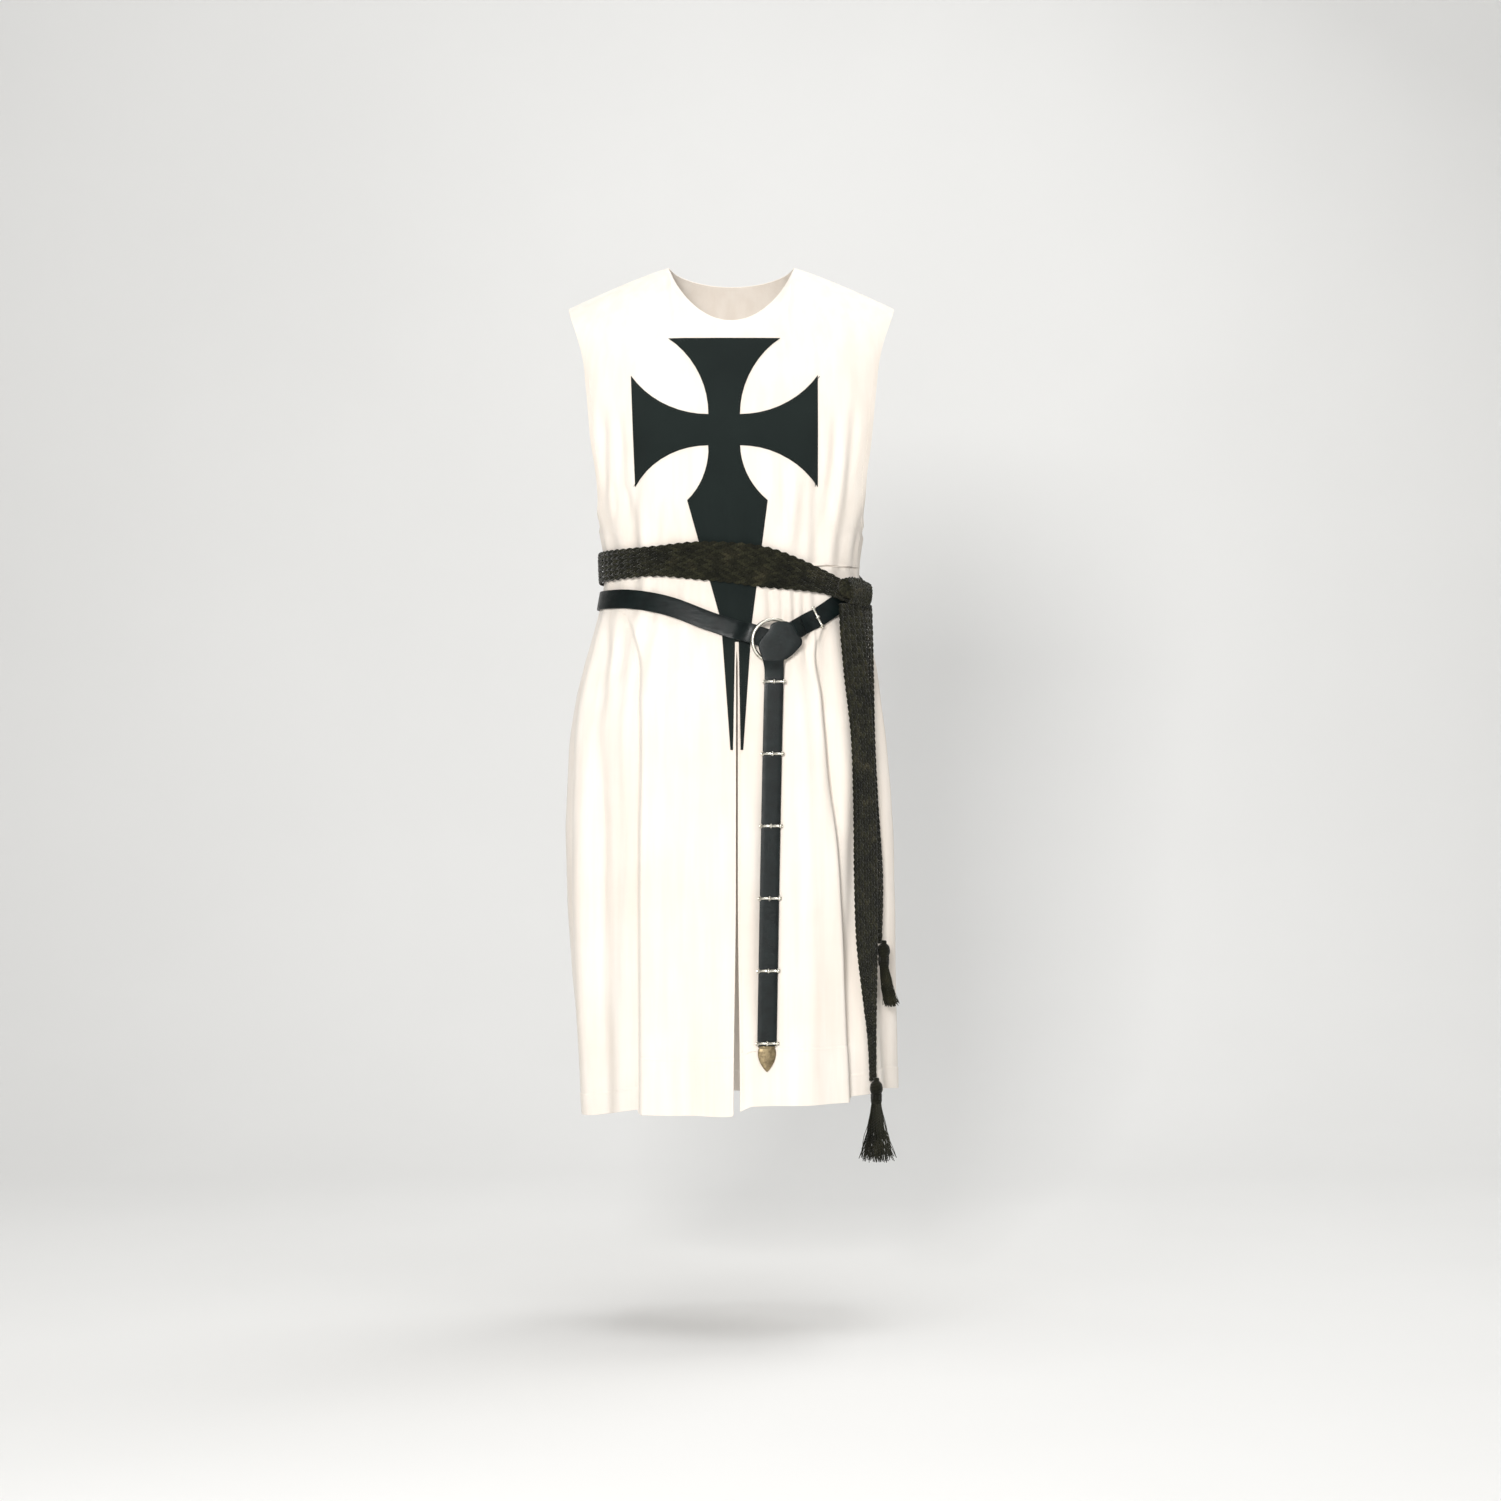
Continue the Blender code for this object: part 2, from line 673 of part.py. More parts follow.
def make_back():
    # Seen from behind the columns run the other way, so the triangles face out.
    shares = np.linspace(-1, 1, BACK_COLUMNS)
    points, normals = panel(shares[::-1], False)
    index = np.arange(points.shape[0] * BACK_COLUMNS).reshape(points.shape[0], BACK_COLUMNS)
    points, normals = points.reshape(-1, 3), normals.reshape(-1, 3)
    wall("back", points, points - normals * CLOTH, grid_faces(index), "cloth")


def make_gore(name, way):
    rows = [z for z in BODY_ROWS if z <= GORE_TOP]
    points, normals = [], []
    for z in rows:
        start = front_seam(z, way) + SEAM_GAP / 2
        end = back_seam(z, way) - SEAM_GAP / 2
        share = np.linspace(0, 1, GORE_COLUMNS) ** 1.35
        arcs = way * (start + (end - start) * share)
        if way < 0:
            arcs = arcs[::-1]
        points.append(body(arcs, z))
        normals.append(body_normal(arcs, z))
    points, normals = np.array(points), np.array(normals)
    index = np.arange(len(rows) * GORE_COLUMNS).reshape(len(rows), GORE_COLUMNS)
    points, normals = points.reshape(-1, 3), normals.reshape(-1, 3)
    wall(name, points, points - normals * CLOTH, grid_faces(index), "cloth")


def arc_points(start, end):
    """Points on the circle that leaves start along the arm's axis and reaches end.

    Both are (along, out) from the cross's middle; the first point is left out.
    """
    run, rise = end[0] - start[0], end[1] - start[1]
    radius = (run**2 + rise**2) / (2 * rise)
    turn = math.atan2(run, radius - rise)
    steps = np.linspace(0, turn, ARC_STEPS + 1)[1:]
    return [(start[0] + radius * math.sin(a), start[1] + radius * (1 - math.cos(a))) for a in steps]


def cross_axis(z):
    """x of the cross's middle line, which drifts to the slit."""
    drift = ease((CROSS_CENTRE[1] - z) / (CROSS_CENTRE[1] - SLIT_TOP))
    return CROSS_CENTRE[0] + (SLIT_ARC - CROSS_CENTRE[0]) * drift


def cross_outline():
    """The cross seen from the front, in x and z, counter-clockwise from the top arm's right corner."""
    arm = [(CROSS_NECK, CROSS_NECK)] + arc_points((CROSS_NECK, CROSS_NECK), (CROSS_ARM, CROSS_ARM_HALF))
    foot = arc_points((CROSS_NECK, CROSS_NECK), (CROSS_FOOT_FLARE, CROSS_FOOT_HALF))
    foot += [(CROSS_FOOT_TAPER, CROSS_FOOT_TAPER_HALF), (CROSS_FOOT_END, CROSS_FOOT_END_HALF)]
    notch_top = CROSS_CENTRE[1] - SLIT_TOP
    notch = [
        (CROSS_FOOT_END, CROSS_SLIT_MARGIN + slit_half(CROSS_CENTRE[1] - CROSS_FOOT_END)),
        (notch_top, CROSS_SLIT_MARGIN_TOP + slit_half(SLIT_TOP - 0.05)),
    ]
    cx, cz = CROSS_CENTRE
    right = [(cx + out, cz + along) for along, out in arm[::-1]]
    right += [(cx + along, cz + out) for along, out in arm[1:]]
    right += [(cx + along, cz - out) for along, out in arm[:0:-1]]
    right += [(cross_axis(cz - along) + out, cz - along) for along, out in [arm[0]] + foot + notch]
    left = [(2 * cross_axis(z) - x if z < cz - CROSS_NECK else 2 * cx - x, z) for x, z in right]
    return right[::-1] + left


def make_cross():
    """The front's own points moved out, cut to the cross's outline."""
    points, normals, faces = front_grid()
    low, high = CROSS_CENTRE[1] - CROSS_FOOT_END - 0.08, CROSS_CENTRE[1] + CROSS_ARM + 0.03
    wide = CROSS_ARM + 0.03
    near = [
        f for f in faces
        if all(low < points[v][2] < high and abs(points[v][0]) < wide and points[v][1] < 0 for v in f)
    ]
    points, normals, near = used_only(points, normals, near)
    top, under = SEAM_GAP + CROSS_THICK, SEAM_GAP
    cloth = wall("cross", points + normals * top, points + normals * under, near, "black_cloth")
    edge = cross_outline()
    count = len(edge)
    ends = [(x, -0.40, z) for x, z in edge] + [(x, 0.0, z) for x, z in edge]
    sides = [(i, (i + 1) % count, (i + 1) % count + count, i + count) for i in range(count)]
    caps = [tuple(range(count))[::-1], tuple(range(count, 2 * count))]
    cutter = solid("cross_cutter", ends, sides + caps, "black_cloth")
    turn_outward(cutter)
    cutter.hide_render = True
    cutter.display_type = "WIRE"
    cut = cloth.modifiers.new("cut", "BOOLEAN")
    cut.operation = "INTERSECT"
    cut.object = cutter


def turn_outward(thing):
    """Makes all faces of a closed mesh point out."""
    import bmesh

    mesh = bmesh.new()
    mesh.from_mesh(thing.data)
    bmesh.ops.recalc_face_normals(mesh, faces=mesh.faces)
    mesh.to_mesh(thing.data)
    mesh.free()


def lined(name, stations, colour, closed=False):
    """A solid along stations, each a ring of points, the first and last capped or joined."""
    stations = np.asarray(stations, float)
    count, sides = stations.shape[:2]
    index = np.arange(count * sides).reshape(count, sides)
    faces = []
    for j in range(count if closed else count - 1):
        k = (j + 1) % count
        for i in range(sides):
            n = (i + 1) % sides
            faces.append((index[j, i], index[j, n], index[k, n], index[k, i]))
    if not closed:
        faces += [tuple(index[0])[::-1], tuple(index[-1])]
    thing = solid(name, stations.reshape(-1, 3), faces, colour)
    turn_outward(thing)
    return thing


def flat_ring(middle, wide, out, half, thick, round_off=0.35):
    """Eight points of a flat band's section round its middle; wide and out are its two directions."""
    deep, edge = thick / 2, 0.45 * thick / 2
    inner = half * (1 - round_off * thick / half)
    near = ((inner, deep), (half, edge), (half, -edge), (inner, -deep))
    far = [(-a, b) for a, b in near[::-1]]
    return [middle + wide * a + out * b for a, b in (*near, *far)]


def cloth_points():
    """Samples of the cloth's outer face below the chest, with the cross's thickness added over the cross."""
    points = []
    for z in np.arange(-0.405, -LENGTH, -0.009):
        arcs = np.linspace(-back_arc(round(z, 6), -1), back_arc(round(z, 6), 1), 230)
        for way in (-1, 1):
            side = arcs[arcs * way >= 0]
            row = body(side, float(z), way if z < SLIT_TOP else 0)
            in_front = (np.abs(row[:, 0]) < 0.075) & (row[:, 1] < 0)
            on_cross = in_front & (z > CROSS_CENTRE[1] - CROSS_FOOT_END - 0.01)
            row[:, 1] -= on_cross * (SEAM_GAP + CROSS_THICK)
            points.append(row)
    return np.concatenate(points)


def band_points(rings):
    """Samples of the outer face of a band made of sections."""
    rings = np.asarray(rings)
    across = np.linspace(0, 1, 5)[None, :, None]
    faces = rings[:, None, 0] * (1 - across) + rings[:, None, 7] * across
    samples = [faces[:-1] * (1 - t) + faces[1:] * t for t in (0, 0.25, 0.5, 0.75)]
    return np.concatenate([s.reshape(-1, 3) for s in samples])


def stand_off(frame, half, near, support):
    """How far the support reaches along outward within a window round a frame's middle."""
    middle, along, up, out = frame
    away = support - middle
    inside = (np.abs(away @ along) < near) & (np.abs(away @ up) < half) & (np.abs(away @ out) < 0.06)
    return float((away[inside] @ out).max()) if inside.any() else 0.0


def eased(reach, closed=False):
    """Fills the hollows between neighbouring stations, so that a band stays straight over the folds."""
    for _ in range(8):
        if closed:
            sides = (np.roll(reach, 1) + np.roll(reach, -1)) / 2
        else:
            padded = np.concatenate([[reach[0]], reach, [reach[-1]]])
            sides = (padded[:-2] + padded[2:]) / 2
        reach = np.maximum(reach, sides)
    return reach


def band_frame(arc, z, half, slope):
    """Middle, along, up and outward directions of a band's section seated on the plan outline.

    slope is the band's rise along its arc; the section stands square to it.
    """
    ends, outs = [], []
    for way in (1, -1):
        rise = way * half / math.hypot(1, slope)
        here, outward = plan(np.array([arc - rise * slope]), z + rise)
        ends.append(np.append(here[0], z + rise))
        outs.append(np.append(outward[0], 0.0))
    up = unit(ends[0] - ends[1])
    along = unit(np.cross(up, outs[0] + outs[1]))
    return (ends[0] + ends[1]) / 2, along, up, unit(np.cross(along, up))


def band_rings(line, thick, support, closed=False):
    """Sections of a band along a line of arcs, heights and half widths, lying on the support."""
    arcs, zs = np.array([station[:2] for station in line]).T
    if closed:
        slopes = (np.roll(zs, -1) - np.roll(zs, 1)) / (2 * abs(arcs[1] - arcs[0]))
    else:
        whole = np.where(np.abs(np.diff(arcs, prepend=arcs[0])) > 0.5, 0.0, np.gradient(zs))
        slopes = whole / np.where(np.abs(np.gradient(arcs)) > 0.2, -0.02, np.gradient(arcs))
    frames = [band_frame(arc, z, half, slope) for (arc, z, half), slope in zip(line, slopes)]
    reach = np.array([stand_off(f, half + 0.002, 0.014, support) for f, (_, _, half) in zip(frames, line)])
    reach = eased(reach, closed) + BAND_CLEAR
    return [
        flat_ring(middle + out * (far + thick / 2), up, out, half, thick)
        for (middle, along, up, out), far, (_, _, half) in zip(frames, reach, line)
    ]


def sash_at(arc):
    """Height and half width of the sash at an arc from the front's middle."""
    names = SASH_COLUMNS
    way = -1 if arc < 0 else 1
    side = side_arc(WAIST, way)
    if abs(arc) <= side:
        x = float(plan(np.array([arc]), WAIST)[0][0, 0])
        xs = column(SASH_LINE, names, "x")
        return tuple(float(smooth(x, xs, column(SASH_LINE, names, name))) for name in names[1:])
    behind = float(ease((abs(arc) - side) / 0.12))
    _, z, half = SASH_LINE[0 if way < 0 else -1]
    return z + (SASH_BACK_Z - z) * behind, half + (SASH_BACK_HALF - half) * behind


def sash_line():
    line = []
    for i in range(SASH_STATIONS):
        share = 2 * i / SASH_STATIONS - 1
        arc = share * back_arc(WAIST, 1 if share > 0 else -1)
        line.append((arc, *sash_at(arc)))
    return line


def hanging(rows, x_of_z, half_of_z, thick, support, start=0.0):
    """Sections and frames of a strap that hangs on the support, flat to the skirt's outline.

    start is how far out its top is held; from there it sinks back to the cloth.
    """
    frames, reach = [], []
    for z in rows:
        arc = float(arc_at_x(round(z, 6), x_of_z(z)))
        here, outward = plan(np.array([arc]), z)
        out = np.append(outward[0], 0.0)
        frame = (np.append(here[0], z), np.array((0, 0, 1.0)), np.array((-out[1], out[0], 0.0)), out)
        frames.append(frame)
        reach.append(stand_off(frame, half_of_z(z) + 0.003, 0.030, support))
    reach = np.maximum(np.array(reach), start - END_SLOPE * (rows[0] - np.asarray(rows)))
    reach = eased(reach) + SEAT
    frames = [(m + out * (far + thick / 2), wide, out) for (m, _, wide, out), far in zip(frames, reach)]
    rings = [flat_ring(m, wide, out, half_of_z(z), thick) for z, (m, wide, out) in zip(rows, frames)]
    return rings, frames


def end_value(name):
    zs = column(SASH_ENDS, END_COLUMNS, "z")
    return lambda z: float(smooth(z, zs, column(SASH_ENDS, END_COLUMNS, name)))


def make_sash(cloth, strap):
    """The band over the belt, its knot, the two ends that hang from the knot and their tassels."""
    band = band_rings(sash_line(), SASH_THICK, np.concatenate([cloth, strap]), closed=True)
    lined("sash_band", band, "braid", closed=True)
    under = np.concatenate([cloth, strap, band_points(band + band[:1])])
    make_knot(under)
    rows = np.linspace(ENDS_TOP, SHORT_END_Z, END_ROWS)
    short, frames = hanging(rows, end_value("short_x"), end_value("short_half"), END_THICK, under)
    lined("sash_end_short", short, "braid")
    make_tassel("tassel_short", frames[-1], SHORT_TASSEL)

    over = np.concatenate([under, band_points(short)])
    rows = np.linspace(ENDS_TOP, LONG_END_Z, END_ROWS + 4)
    long, frames = hanging(rows, end_value("long_x"), end_value("long_half"), END_THICK, over)
    lined("sash_end_long", long, "braid")
    make_tassel("tassel_long", frames[-1], LONG_TASSEL)


def make_knot(under):
    """The sash's knot: a short thick roll seated on the band."""
    middle_arc = float(arc_at_x(KNOT[3][1], KNOT_X))
    frames, reach = [], []
    for arc, z, half, thick in KNOT:
        frame = band_frame(middle_arc + arc, z, half, 0.0)
        frames.append(frame)
        reach.append(stand_off(frame, half + 0.002, 0.014, under))
    reach = eased(np.array(reach)) + SEAT
    rings = [
        flat_ring(middle + out * (far + thick / 2), up, out, half, thick)
        for (middle, along, up, out), far, (_, _, half, thick) in zip(frames, reach, KNOT)
    ]
    lined("sash_knot", rings, "braid")


def strand(root, flare, length, thick, phase):
    """One tassel strand: a thin prism that leaves the head downwards and flares out."""
    rings = []
    for share in (0.0, 0.45, 1.0):
        middle = root + flare * share**1.3 - np.array((0, 0, length * share))
        size = thick * (0.75 + 0.35 * share)
        turn = phase + 2 * math.pi * np.arange(STRAND_SIDES) / STRAND_SIDES
        rings.append([middle + size * np.array((math.cos(a), math.sin(a), 0.0)) for a in turn])
    return rings


def make_tassel(name, frame, sizes):
    """A wrapped head with strands, their roots fused into it; the strands keep off the cloth."""
    length, spread, lean, forward, depth = sizes
    middle, wide, out = frame
    top = middle + out * (TASSEL_HEAD - END_THICK / 2) - np.array((0, 0, SEAM_GAP))
    head_rows = ((0.000, 0.60), (0.006, 0.95), (0.014, 1.0), (0.021, 0.80), (0.028, 0.95), (0.033, 0.80))
    sides = 10
    turn = 2 * math.pi * np.arange(sides) / sides
    rings = [
        [top + np.array((TASSEL_HEAD * r * math.cos(a), TASSEL_HEAD * r * math.sin(a), -down)) for a in turn]
        for down, r in head_rows
    ]
    head = lined(name, rings, "braid")
    points, faces = [], []
    root_z = head_rows[-1][0] - 0.004
    for i in range(TASSEL_STRANDS):
        share = math.sqrt((i + 0.5) / TASSEL_STRANDS)
        angle = i * math.pi * (3 - math.sqrt(5))
        side, ahead = share * math.cos(angle), share * math.sin(angle)
        root = top + (wide * side + out * ahead) * TASSEL_HEAD * 0.68 - np.array((0, 0, root_z))
        room = spread - TASSEL_HEAD
        flare = wide * (side * room + lean) + out * (forward + depth * ahead) * room
        uneven = 1 - 0.06 * ((i * 7) % 5) / 4
        rings = strand(root, flare, (length - root_z) * uneven, 0.0010, angle)
        base = len(points)
        points += [p for ring in rings for p in ring]
        for j in range(len(rings) - 1):
            for k in range(STRAND_SIDES):
                n = (k + 1) % STRAND_SIDES
                a, b = base + j * STRAND_SIDES, base + (j + 1) * STRAND_SIDES
                faces.append((a + k, a + n, b + n, b + k))
        last = base + (len(rings) - 1) * STRAND_SIDES
        faces.append(tuple(base + k for k in range(STRAND_SIDES))[::-1])
        faces.append(tuple(last + k for k in range(STRAND_SIDES)))
    strands = solid(name + "_strands", points, faces, "braid")
    turn_outward(strands)
    strands.hide_render = True
    strands.display_type = "WIRE"
    join = head.modifiers.new("strands", "BOOLEAN")
    join.operation = "UNION"
    join.object = strands


def ring_frame(cloth):
    """Middle of the ring, with its sideways and outward directions."""
    arc = float(arc_at_x(RING_Z, RING_X))
    here, outward = plan(np.array([arc]), RING_Z)
    out = np.append(outward[0], 0.0)
    wide = np.array((-outward[0][1], outward[0][0], 0.0))
    frame = (np.append(here[0], RING_Z), wide, np.array((0, 0, 1.0)), out)
    far = stand_off(frame, RING_RADIUS, RING_RADIUS, cloth)
    lift = far + BAND_CLEAR + BELT_THICK + SEAM_GAP + RING_WIRE
    return frame[0] + out * lift, wide, out


def make_ring(frame):
    middle, wide, out = frame
    up = np.array((0, 0, 1.0))
    stations = []
    for turn in 2 * math.pi * np.arange(28) / 28:
        away = wide * math.cos(turn) + up * math.sin(turn)
        centre = middle + away * RING_RADIUS
        stations.append([
            centre + RING_WIRE * (away * math.cos(a) + out * math.sin(a))
            for a in 2 * math.pi * np.arange(6) / 6
        ])
    lined("belt_ring", stations, "silver", closed=True)


def strap_line():
    """Arcs, heights and half widths of the belt from the ring's left side, round the back, to its right."""
    left_x, left_z = np.array(BELT_LEFT).T
    right_x, right_z = np.array(BELT_RIGHT).T
    line = []
    for x in np.linspace(BELT_LEFT_END, -0.185, 14):
        z = float(smooth(x, left_x, left_z))
        line.append((float(arc_at_x(round(z, 6), x)), z, BELT_HALF))
    start, end = line[-1][0], float(arc_at_x(BELT_BACK_Z, 0.185))
    left_end, right_end = -back_arc(BELT_BACK_Z, -1), back_arc(BELT_BACK_Z, 1)
    for share in np.linspace(0, 1, 13)[1:]:
        line.append((start + (left_end - start) * share, BELT_BACK_Z, BELT_HALF))
    for share in np.linspace(0, 1, 13)[1:-1]:
        line.append((right_end + (end - right_end) * share, BELT_BACK_Z, BELT_HALF))
    for x in np.linspace(0.185, BELT_RIGHT_END, 6):
        z = float(smooth(x, right_x, right_z))
        line.append((float(arc_at_x(round(z, 6), x)), z, BELT_HALF))
    return line


def strap_loop(ring, last, turn):
    """Sections of a strap's end: behind the ring's wire, round it, and back in front of the strap."""
    middle, wide, out = ring
    up = np.array((0, 0, 1.0))
    away = wide * math.cos(math.radians(turn)) + up * math.sin(math.radians(turn))
    across = unit(np.cross(out, away))
    across = across if across[2] > 0 else -across
    inset = math.sqrt(RING_RADIUS**2 - BELT_HALF**2)
    radius = RING_WIRE + SEAM_GAP + BELT_THICK / 2
    wire = middle + away * inset
    rings = []
    for k in range(7):
        angle = math.pi * k / 6
        normal = out * math.cos(angle) + away * math.sin(angle)
        rings.append(flat_ring(wire - normal * radius, across, normal, BELT_HALF, BELT_THICK))
    outer = wire + away * (RING_RADIUS - inset + RING_WIRE * 2)
    rings.append(flat_ring(outer + out * radius, across, -out, BELT_HALF, BELT_THICK))
    base = np.array(last)
    under = outer - out * radius
    flap_out = unit(out + LOOP_END * (unit(base[0] + base[7] - base[3] - base[4]) - out))
    flap_up = unit(across + LOOP_END * (unit(base[0] + base[1] - base[4] - base[5]) - across))
    flap = under + LOOP_END * (base.mean(0) - under) + flap_out * (BELT_THICK + 3 * SEAM_GAP)
    rings.append(flat_ring(flap, flap_up, -flap_out, BELT_HALF, BELT_THICK))
    return [flat_ring(under, across, out, BELT_HALF, BELT_THICK)] + rings


def strap_through(ring, turn):
    """Sections of the strap's other end: behind the ring's wire, ending under the tongue's head."""
    middle, wide, out = ring
    up = np.array((0, 0, 1.0))
    away = wide * math.cos(math.radians(turn)) + up * math.sin(math.radians(turn))
    across = unit(np.cross(away, out))
    across = across if across[2] > 0 else -across
    depth = RING_WIRE + SEAM_GAP + BELT_THICK / 2
    centres = [middle + away * far - out * depth for far in (0.004, RING_RADIUS - 0.010, RING_RADIUS + 0.008)]
    return [flat_ring(centre, across, out, BELT_HALF, BELT_THICK) for centre in centres]


def make_strap(cloth, ring):
    """The strap round the hips: one end is folded round the ring, the other passes through it."""
    stations = band_rings(strap_line(), BELT_THICK, cloth)
    left = strap_through(ring, BELT_LEFT_TURN)
    right = strap_loop(ring, stations[-1], BELT_RIGHT_TURN)
    lined("belt_strap", left + stations + right, "leather")
    return stations


def make_tongue(cloth, strap, ring):
    """The belt's long end: its folded head over the ring, then down the skirt to its tip."""
    middle, wide, out = ring
    up = np.array((0, 0, 1.0))
    front = RING_WIRE + 2 * SEAM_GAP + BELT_THICK * 1.5
    rings, path = [], []
    for x, z, half, lift in TONGUE_HEAD:
        point = middle + wide * x + up * z + out * (front + lift)
        rings.append(flat_ring(point, wide, out, half, BELT_THICK))
        path.append((point, wide, out))
    head = path[-1][0]
    first = head[2] - 0.016

    def x_of_z(z):
        return head[0] + (TONGUE_END_X - head[0]) * (head[2] - z) / (head[2] - TONGUE_END)

    arc = float(arc_at_x(round(first, 6), head[0]))
    here, outward = plan(np.array([arc]), first)
    held = float((head[:2] - here[0]) @ outward[0]) - BELT_THICK - 0.0045
    rows = np.linspace(first, TONGUE_END, TONGUE_ROWS)
    below, frames = hanging(rows, x_of_z, lambda z: BELT_HALF, BELT_THICK, cloth, held)
    lined("belt_tongue", rings + below, "leather")
    return path + frames


def make_bar(name, centre, across, out, along):
    """A metal bar across the strap, with a bead in its middle and near each end."""
    half_long, half_high, half_deep = BAR_SIZE
    stations = []
    half_beads = ((0, 1.2), (0.15, 0.8), (0.7, 0.8), (0.85, 1.3), (1, 0.8))
    for share, size in [(-s, size) for s, size in half_beads[:0:-1]] + list(half_beads):
        point = centre + across * half_long * share
        top = out * half_deep * 1.6 * size
        stations.append([
            point + along * half_high * size,
            point + along * half_high * size * 0.6 + top,
            point - along * half_high * size * 0.6 + top,
            point - along * half_high * size,
        ])
    lined(name, stations, "silver")


def at_height(path, z):
    """Point and directions of a hanging strap at height z."""
    zs = -np.array([p[0][2] for p in path])
    return [np.array([np.interp(-z, zs, [p[part][k] for p in path]) for k in range(3)]) for part in range(3)]


def make_belt_metal(path, strap):
    up = np.array((0, 0, 1.0))
    seat = BELT_THICK / 2 + SEAM_GAP
    for i in range(BAR_COUNT):
        z = BAR_FIRST - i * BAR_PITCH
        middle, wide, out = at_height(path, z)
        above, below = at_height(path, z + 0.004)[0], at_height(path, z - 0.004)[0]
        down = unit(above - below)
        across = unit(wide)
        normal = unit(np.cross(across, down))
        normal = normal if normal @ out > 0 else -normal
        make_bar(f"belt_bar_{i + 1}", middle + normal * (seat + 0.0003), across, normal, down)
    middles = np.array([np.mean(ring, axis=0) for ring in strap])
    front = np.where((middles[:, 0] > 0.1) & (middles[:, 1] < 0))[0]
    pick = front[np.argmin(np.abs(middles[front, 0] - STRAP_BAR))]
    ring = np.array(strap[pick])
    out = unit(ring[0] + ring[7] - ring[3] - ring[4])
    across = unit(ring[0] + ring[1] - ring[4] - ring[5])
    make_bar("belt_bar_7", middles[pick] + out * (seat + 0.0014), across, out, unit(np.cross(across, out)))
    middle, wide, out = path[-1]
    stations = []
    for share, half in ((0.0, 0.75), (0.10, 0.98), (0.35, 1.0), (0.65, 0.76), (0.88, 0.36), (1.0, 0.06)):
        point = middle - up * (SEAM_GAP + TIP_LENGTH * share)
        stations.append(flat_ring(point, wide, out, 0.0135 * half, 0.0042 * (0.5 + 0.5 * half)))
    lined("belt_tip", stations, "bronze")


def clear_scene():
    for thing in list(bpy.data.objects):
        bpy.data.objects.remove(thing)


def main():
    clear_scene()
    make_front()
    make_back()
    make_gore("gore_left", -1)
    make_gore("gore_right", 1)
    make_cross()
    cloth = cloth_points()
    ring = ring_frame(cloth)
    strap = make_strap(cloth, ring)
    make_ring(ring)
    path = make_tongue(cloth, strap, ring)
    make_belt_metal(path, strap)
    make_sash(cloth, band_points(strap))


main()
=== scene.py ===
"""Looks of a knight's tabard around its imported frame: cloth panels with creases, hems and stitches, a braided
sash with tassels and a leather ring belt, in a pale studio.

Metres, +Z up, the front faces -Y. The shapes follow the same sizes and functions as the frame's solids, on finer
grids. Left and right are as seen from the front.
"""

import math
from functools import lru_cache

import bmesh
import bpy
import numpy as np
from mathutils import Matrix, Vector

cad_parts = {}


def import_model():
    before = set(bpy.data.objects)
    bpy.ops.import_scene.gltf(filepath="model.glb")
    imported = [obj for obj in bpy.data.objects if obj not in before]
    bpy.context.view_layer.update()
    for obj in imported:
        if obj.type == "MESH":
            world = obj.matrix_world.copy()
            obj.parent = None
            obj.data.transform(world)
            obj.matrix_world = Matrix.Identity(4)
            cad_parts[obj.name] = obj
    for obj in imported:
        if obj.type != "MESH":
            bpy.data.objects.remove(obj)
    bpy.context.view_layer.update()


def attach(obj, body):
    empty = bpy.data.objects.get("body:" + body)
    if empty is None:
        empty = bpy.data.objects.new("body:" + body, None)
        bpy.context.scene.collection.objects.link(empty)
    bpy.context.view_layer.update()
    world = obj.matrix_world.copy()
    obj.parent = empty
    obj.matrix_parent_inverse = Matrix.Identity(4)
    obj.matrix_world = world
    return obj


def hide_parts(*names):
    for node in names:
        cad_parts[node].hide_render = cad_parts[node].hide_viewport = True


def table(names, *rows):
    """A table's columns by name, as arrays."""
    return dict(zip(names.split(), np.array(rows, float).T))


UP = np.array((0, 0, 1.0))
# Samples of the cloth that the belts rest on: first row, step down, columns, and half the cross's foot
SAMPLE_TOP, SAMPLE_ROW, SAMPLE_COLUMNS, SAMPLE_CROSS = -0.405, 0.009, 230, 0.075
# The window round a band's section in which the cloth holds it: beyond its half width, along it and out of it
WINDOW_PAST, WINDOW_NEAR, WINDOW_DEEP = 0.002, 0.014, 0.06

# Driving sizes
LENGTH = 1.272
CLOTH = 0.002
SEAM_GAP = 0.0003
BAND_CLEAR = 0.001
SEAT = 0.0004
SHOULDER_HALF = 0.249
SHOULDER_RISE = 0.016
SHOULDER_DROP = 0.063
NECK_HALF = 0.095
NECK_FRONT = (-0.097, -0.078)
NECK_BACK = (0.074, -0.002)
LOFT_END = -0.16
ARMHOLE_END = -0.4
GORE_TOP = -0.445
GORE_TOP_HALF = 0.0016
WAIST = -0.45

# Plan outline of the body by height: half widths, depths to front and back, and how square it is
SECTIONS = table(
    "z left right front back square",
    (-0.16, 0.25, 0.25, 0.118, 0.116, 2.5),
    (-0.25, 0.242, 0.242, 0.134, 0.126, 2.5),
    (-0.34, 0.219, 0.219, 0.134, 0.121, 2.4),
    (-0.4, 0.2, 0.2, 0.127, 0.113, 2.3),
    (-0.45, 0.194, 0.195, 0.12, 0.107, 2.3),
    (-0.5, 0.199, 0.2, 0.122, 0.112, 2.3),
    (-0.56, 0.215, 0.212, 0.133, 0.127, 2.3),
    (-0.66, 0.241, 0.228, 0.147, 0.146, 2.3),
    (-0.8, 0.253, 0.237, 0.157, 0.157, 2.2),
    (-1.0, 0.251, 0.241, 0.164, 0.163, 2.2),
    (-1.15, 0.241, 0.244, 0.168, 0.167, 2.2),
    (-1.272, 0.231, 0.247, 0.171, 0.17, 2.2),
)

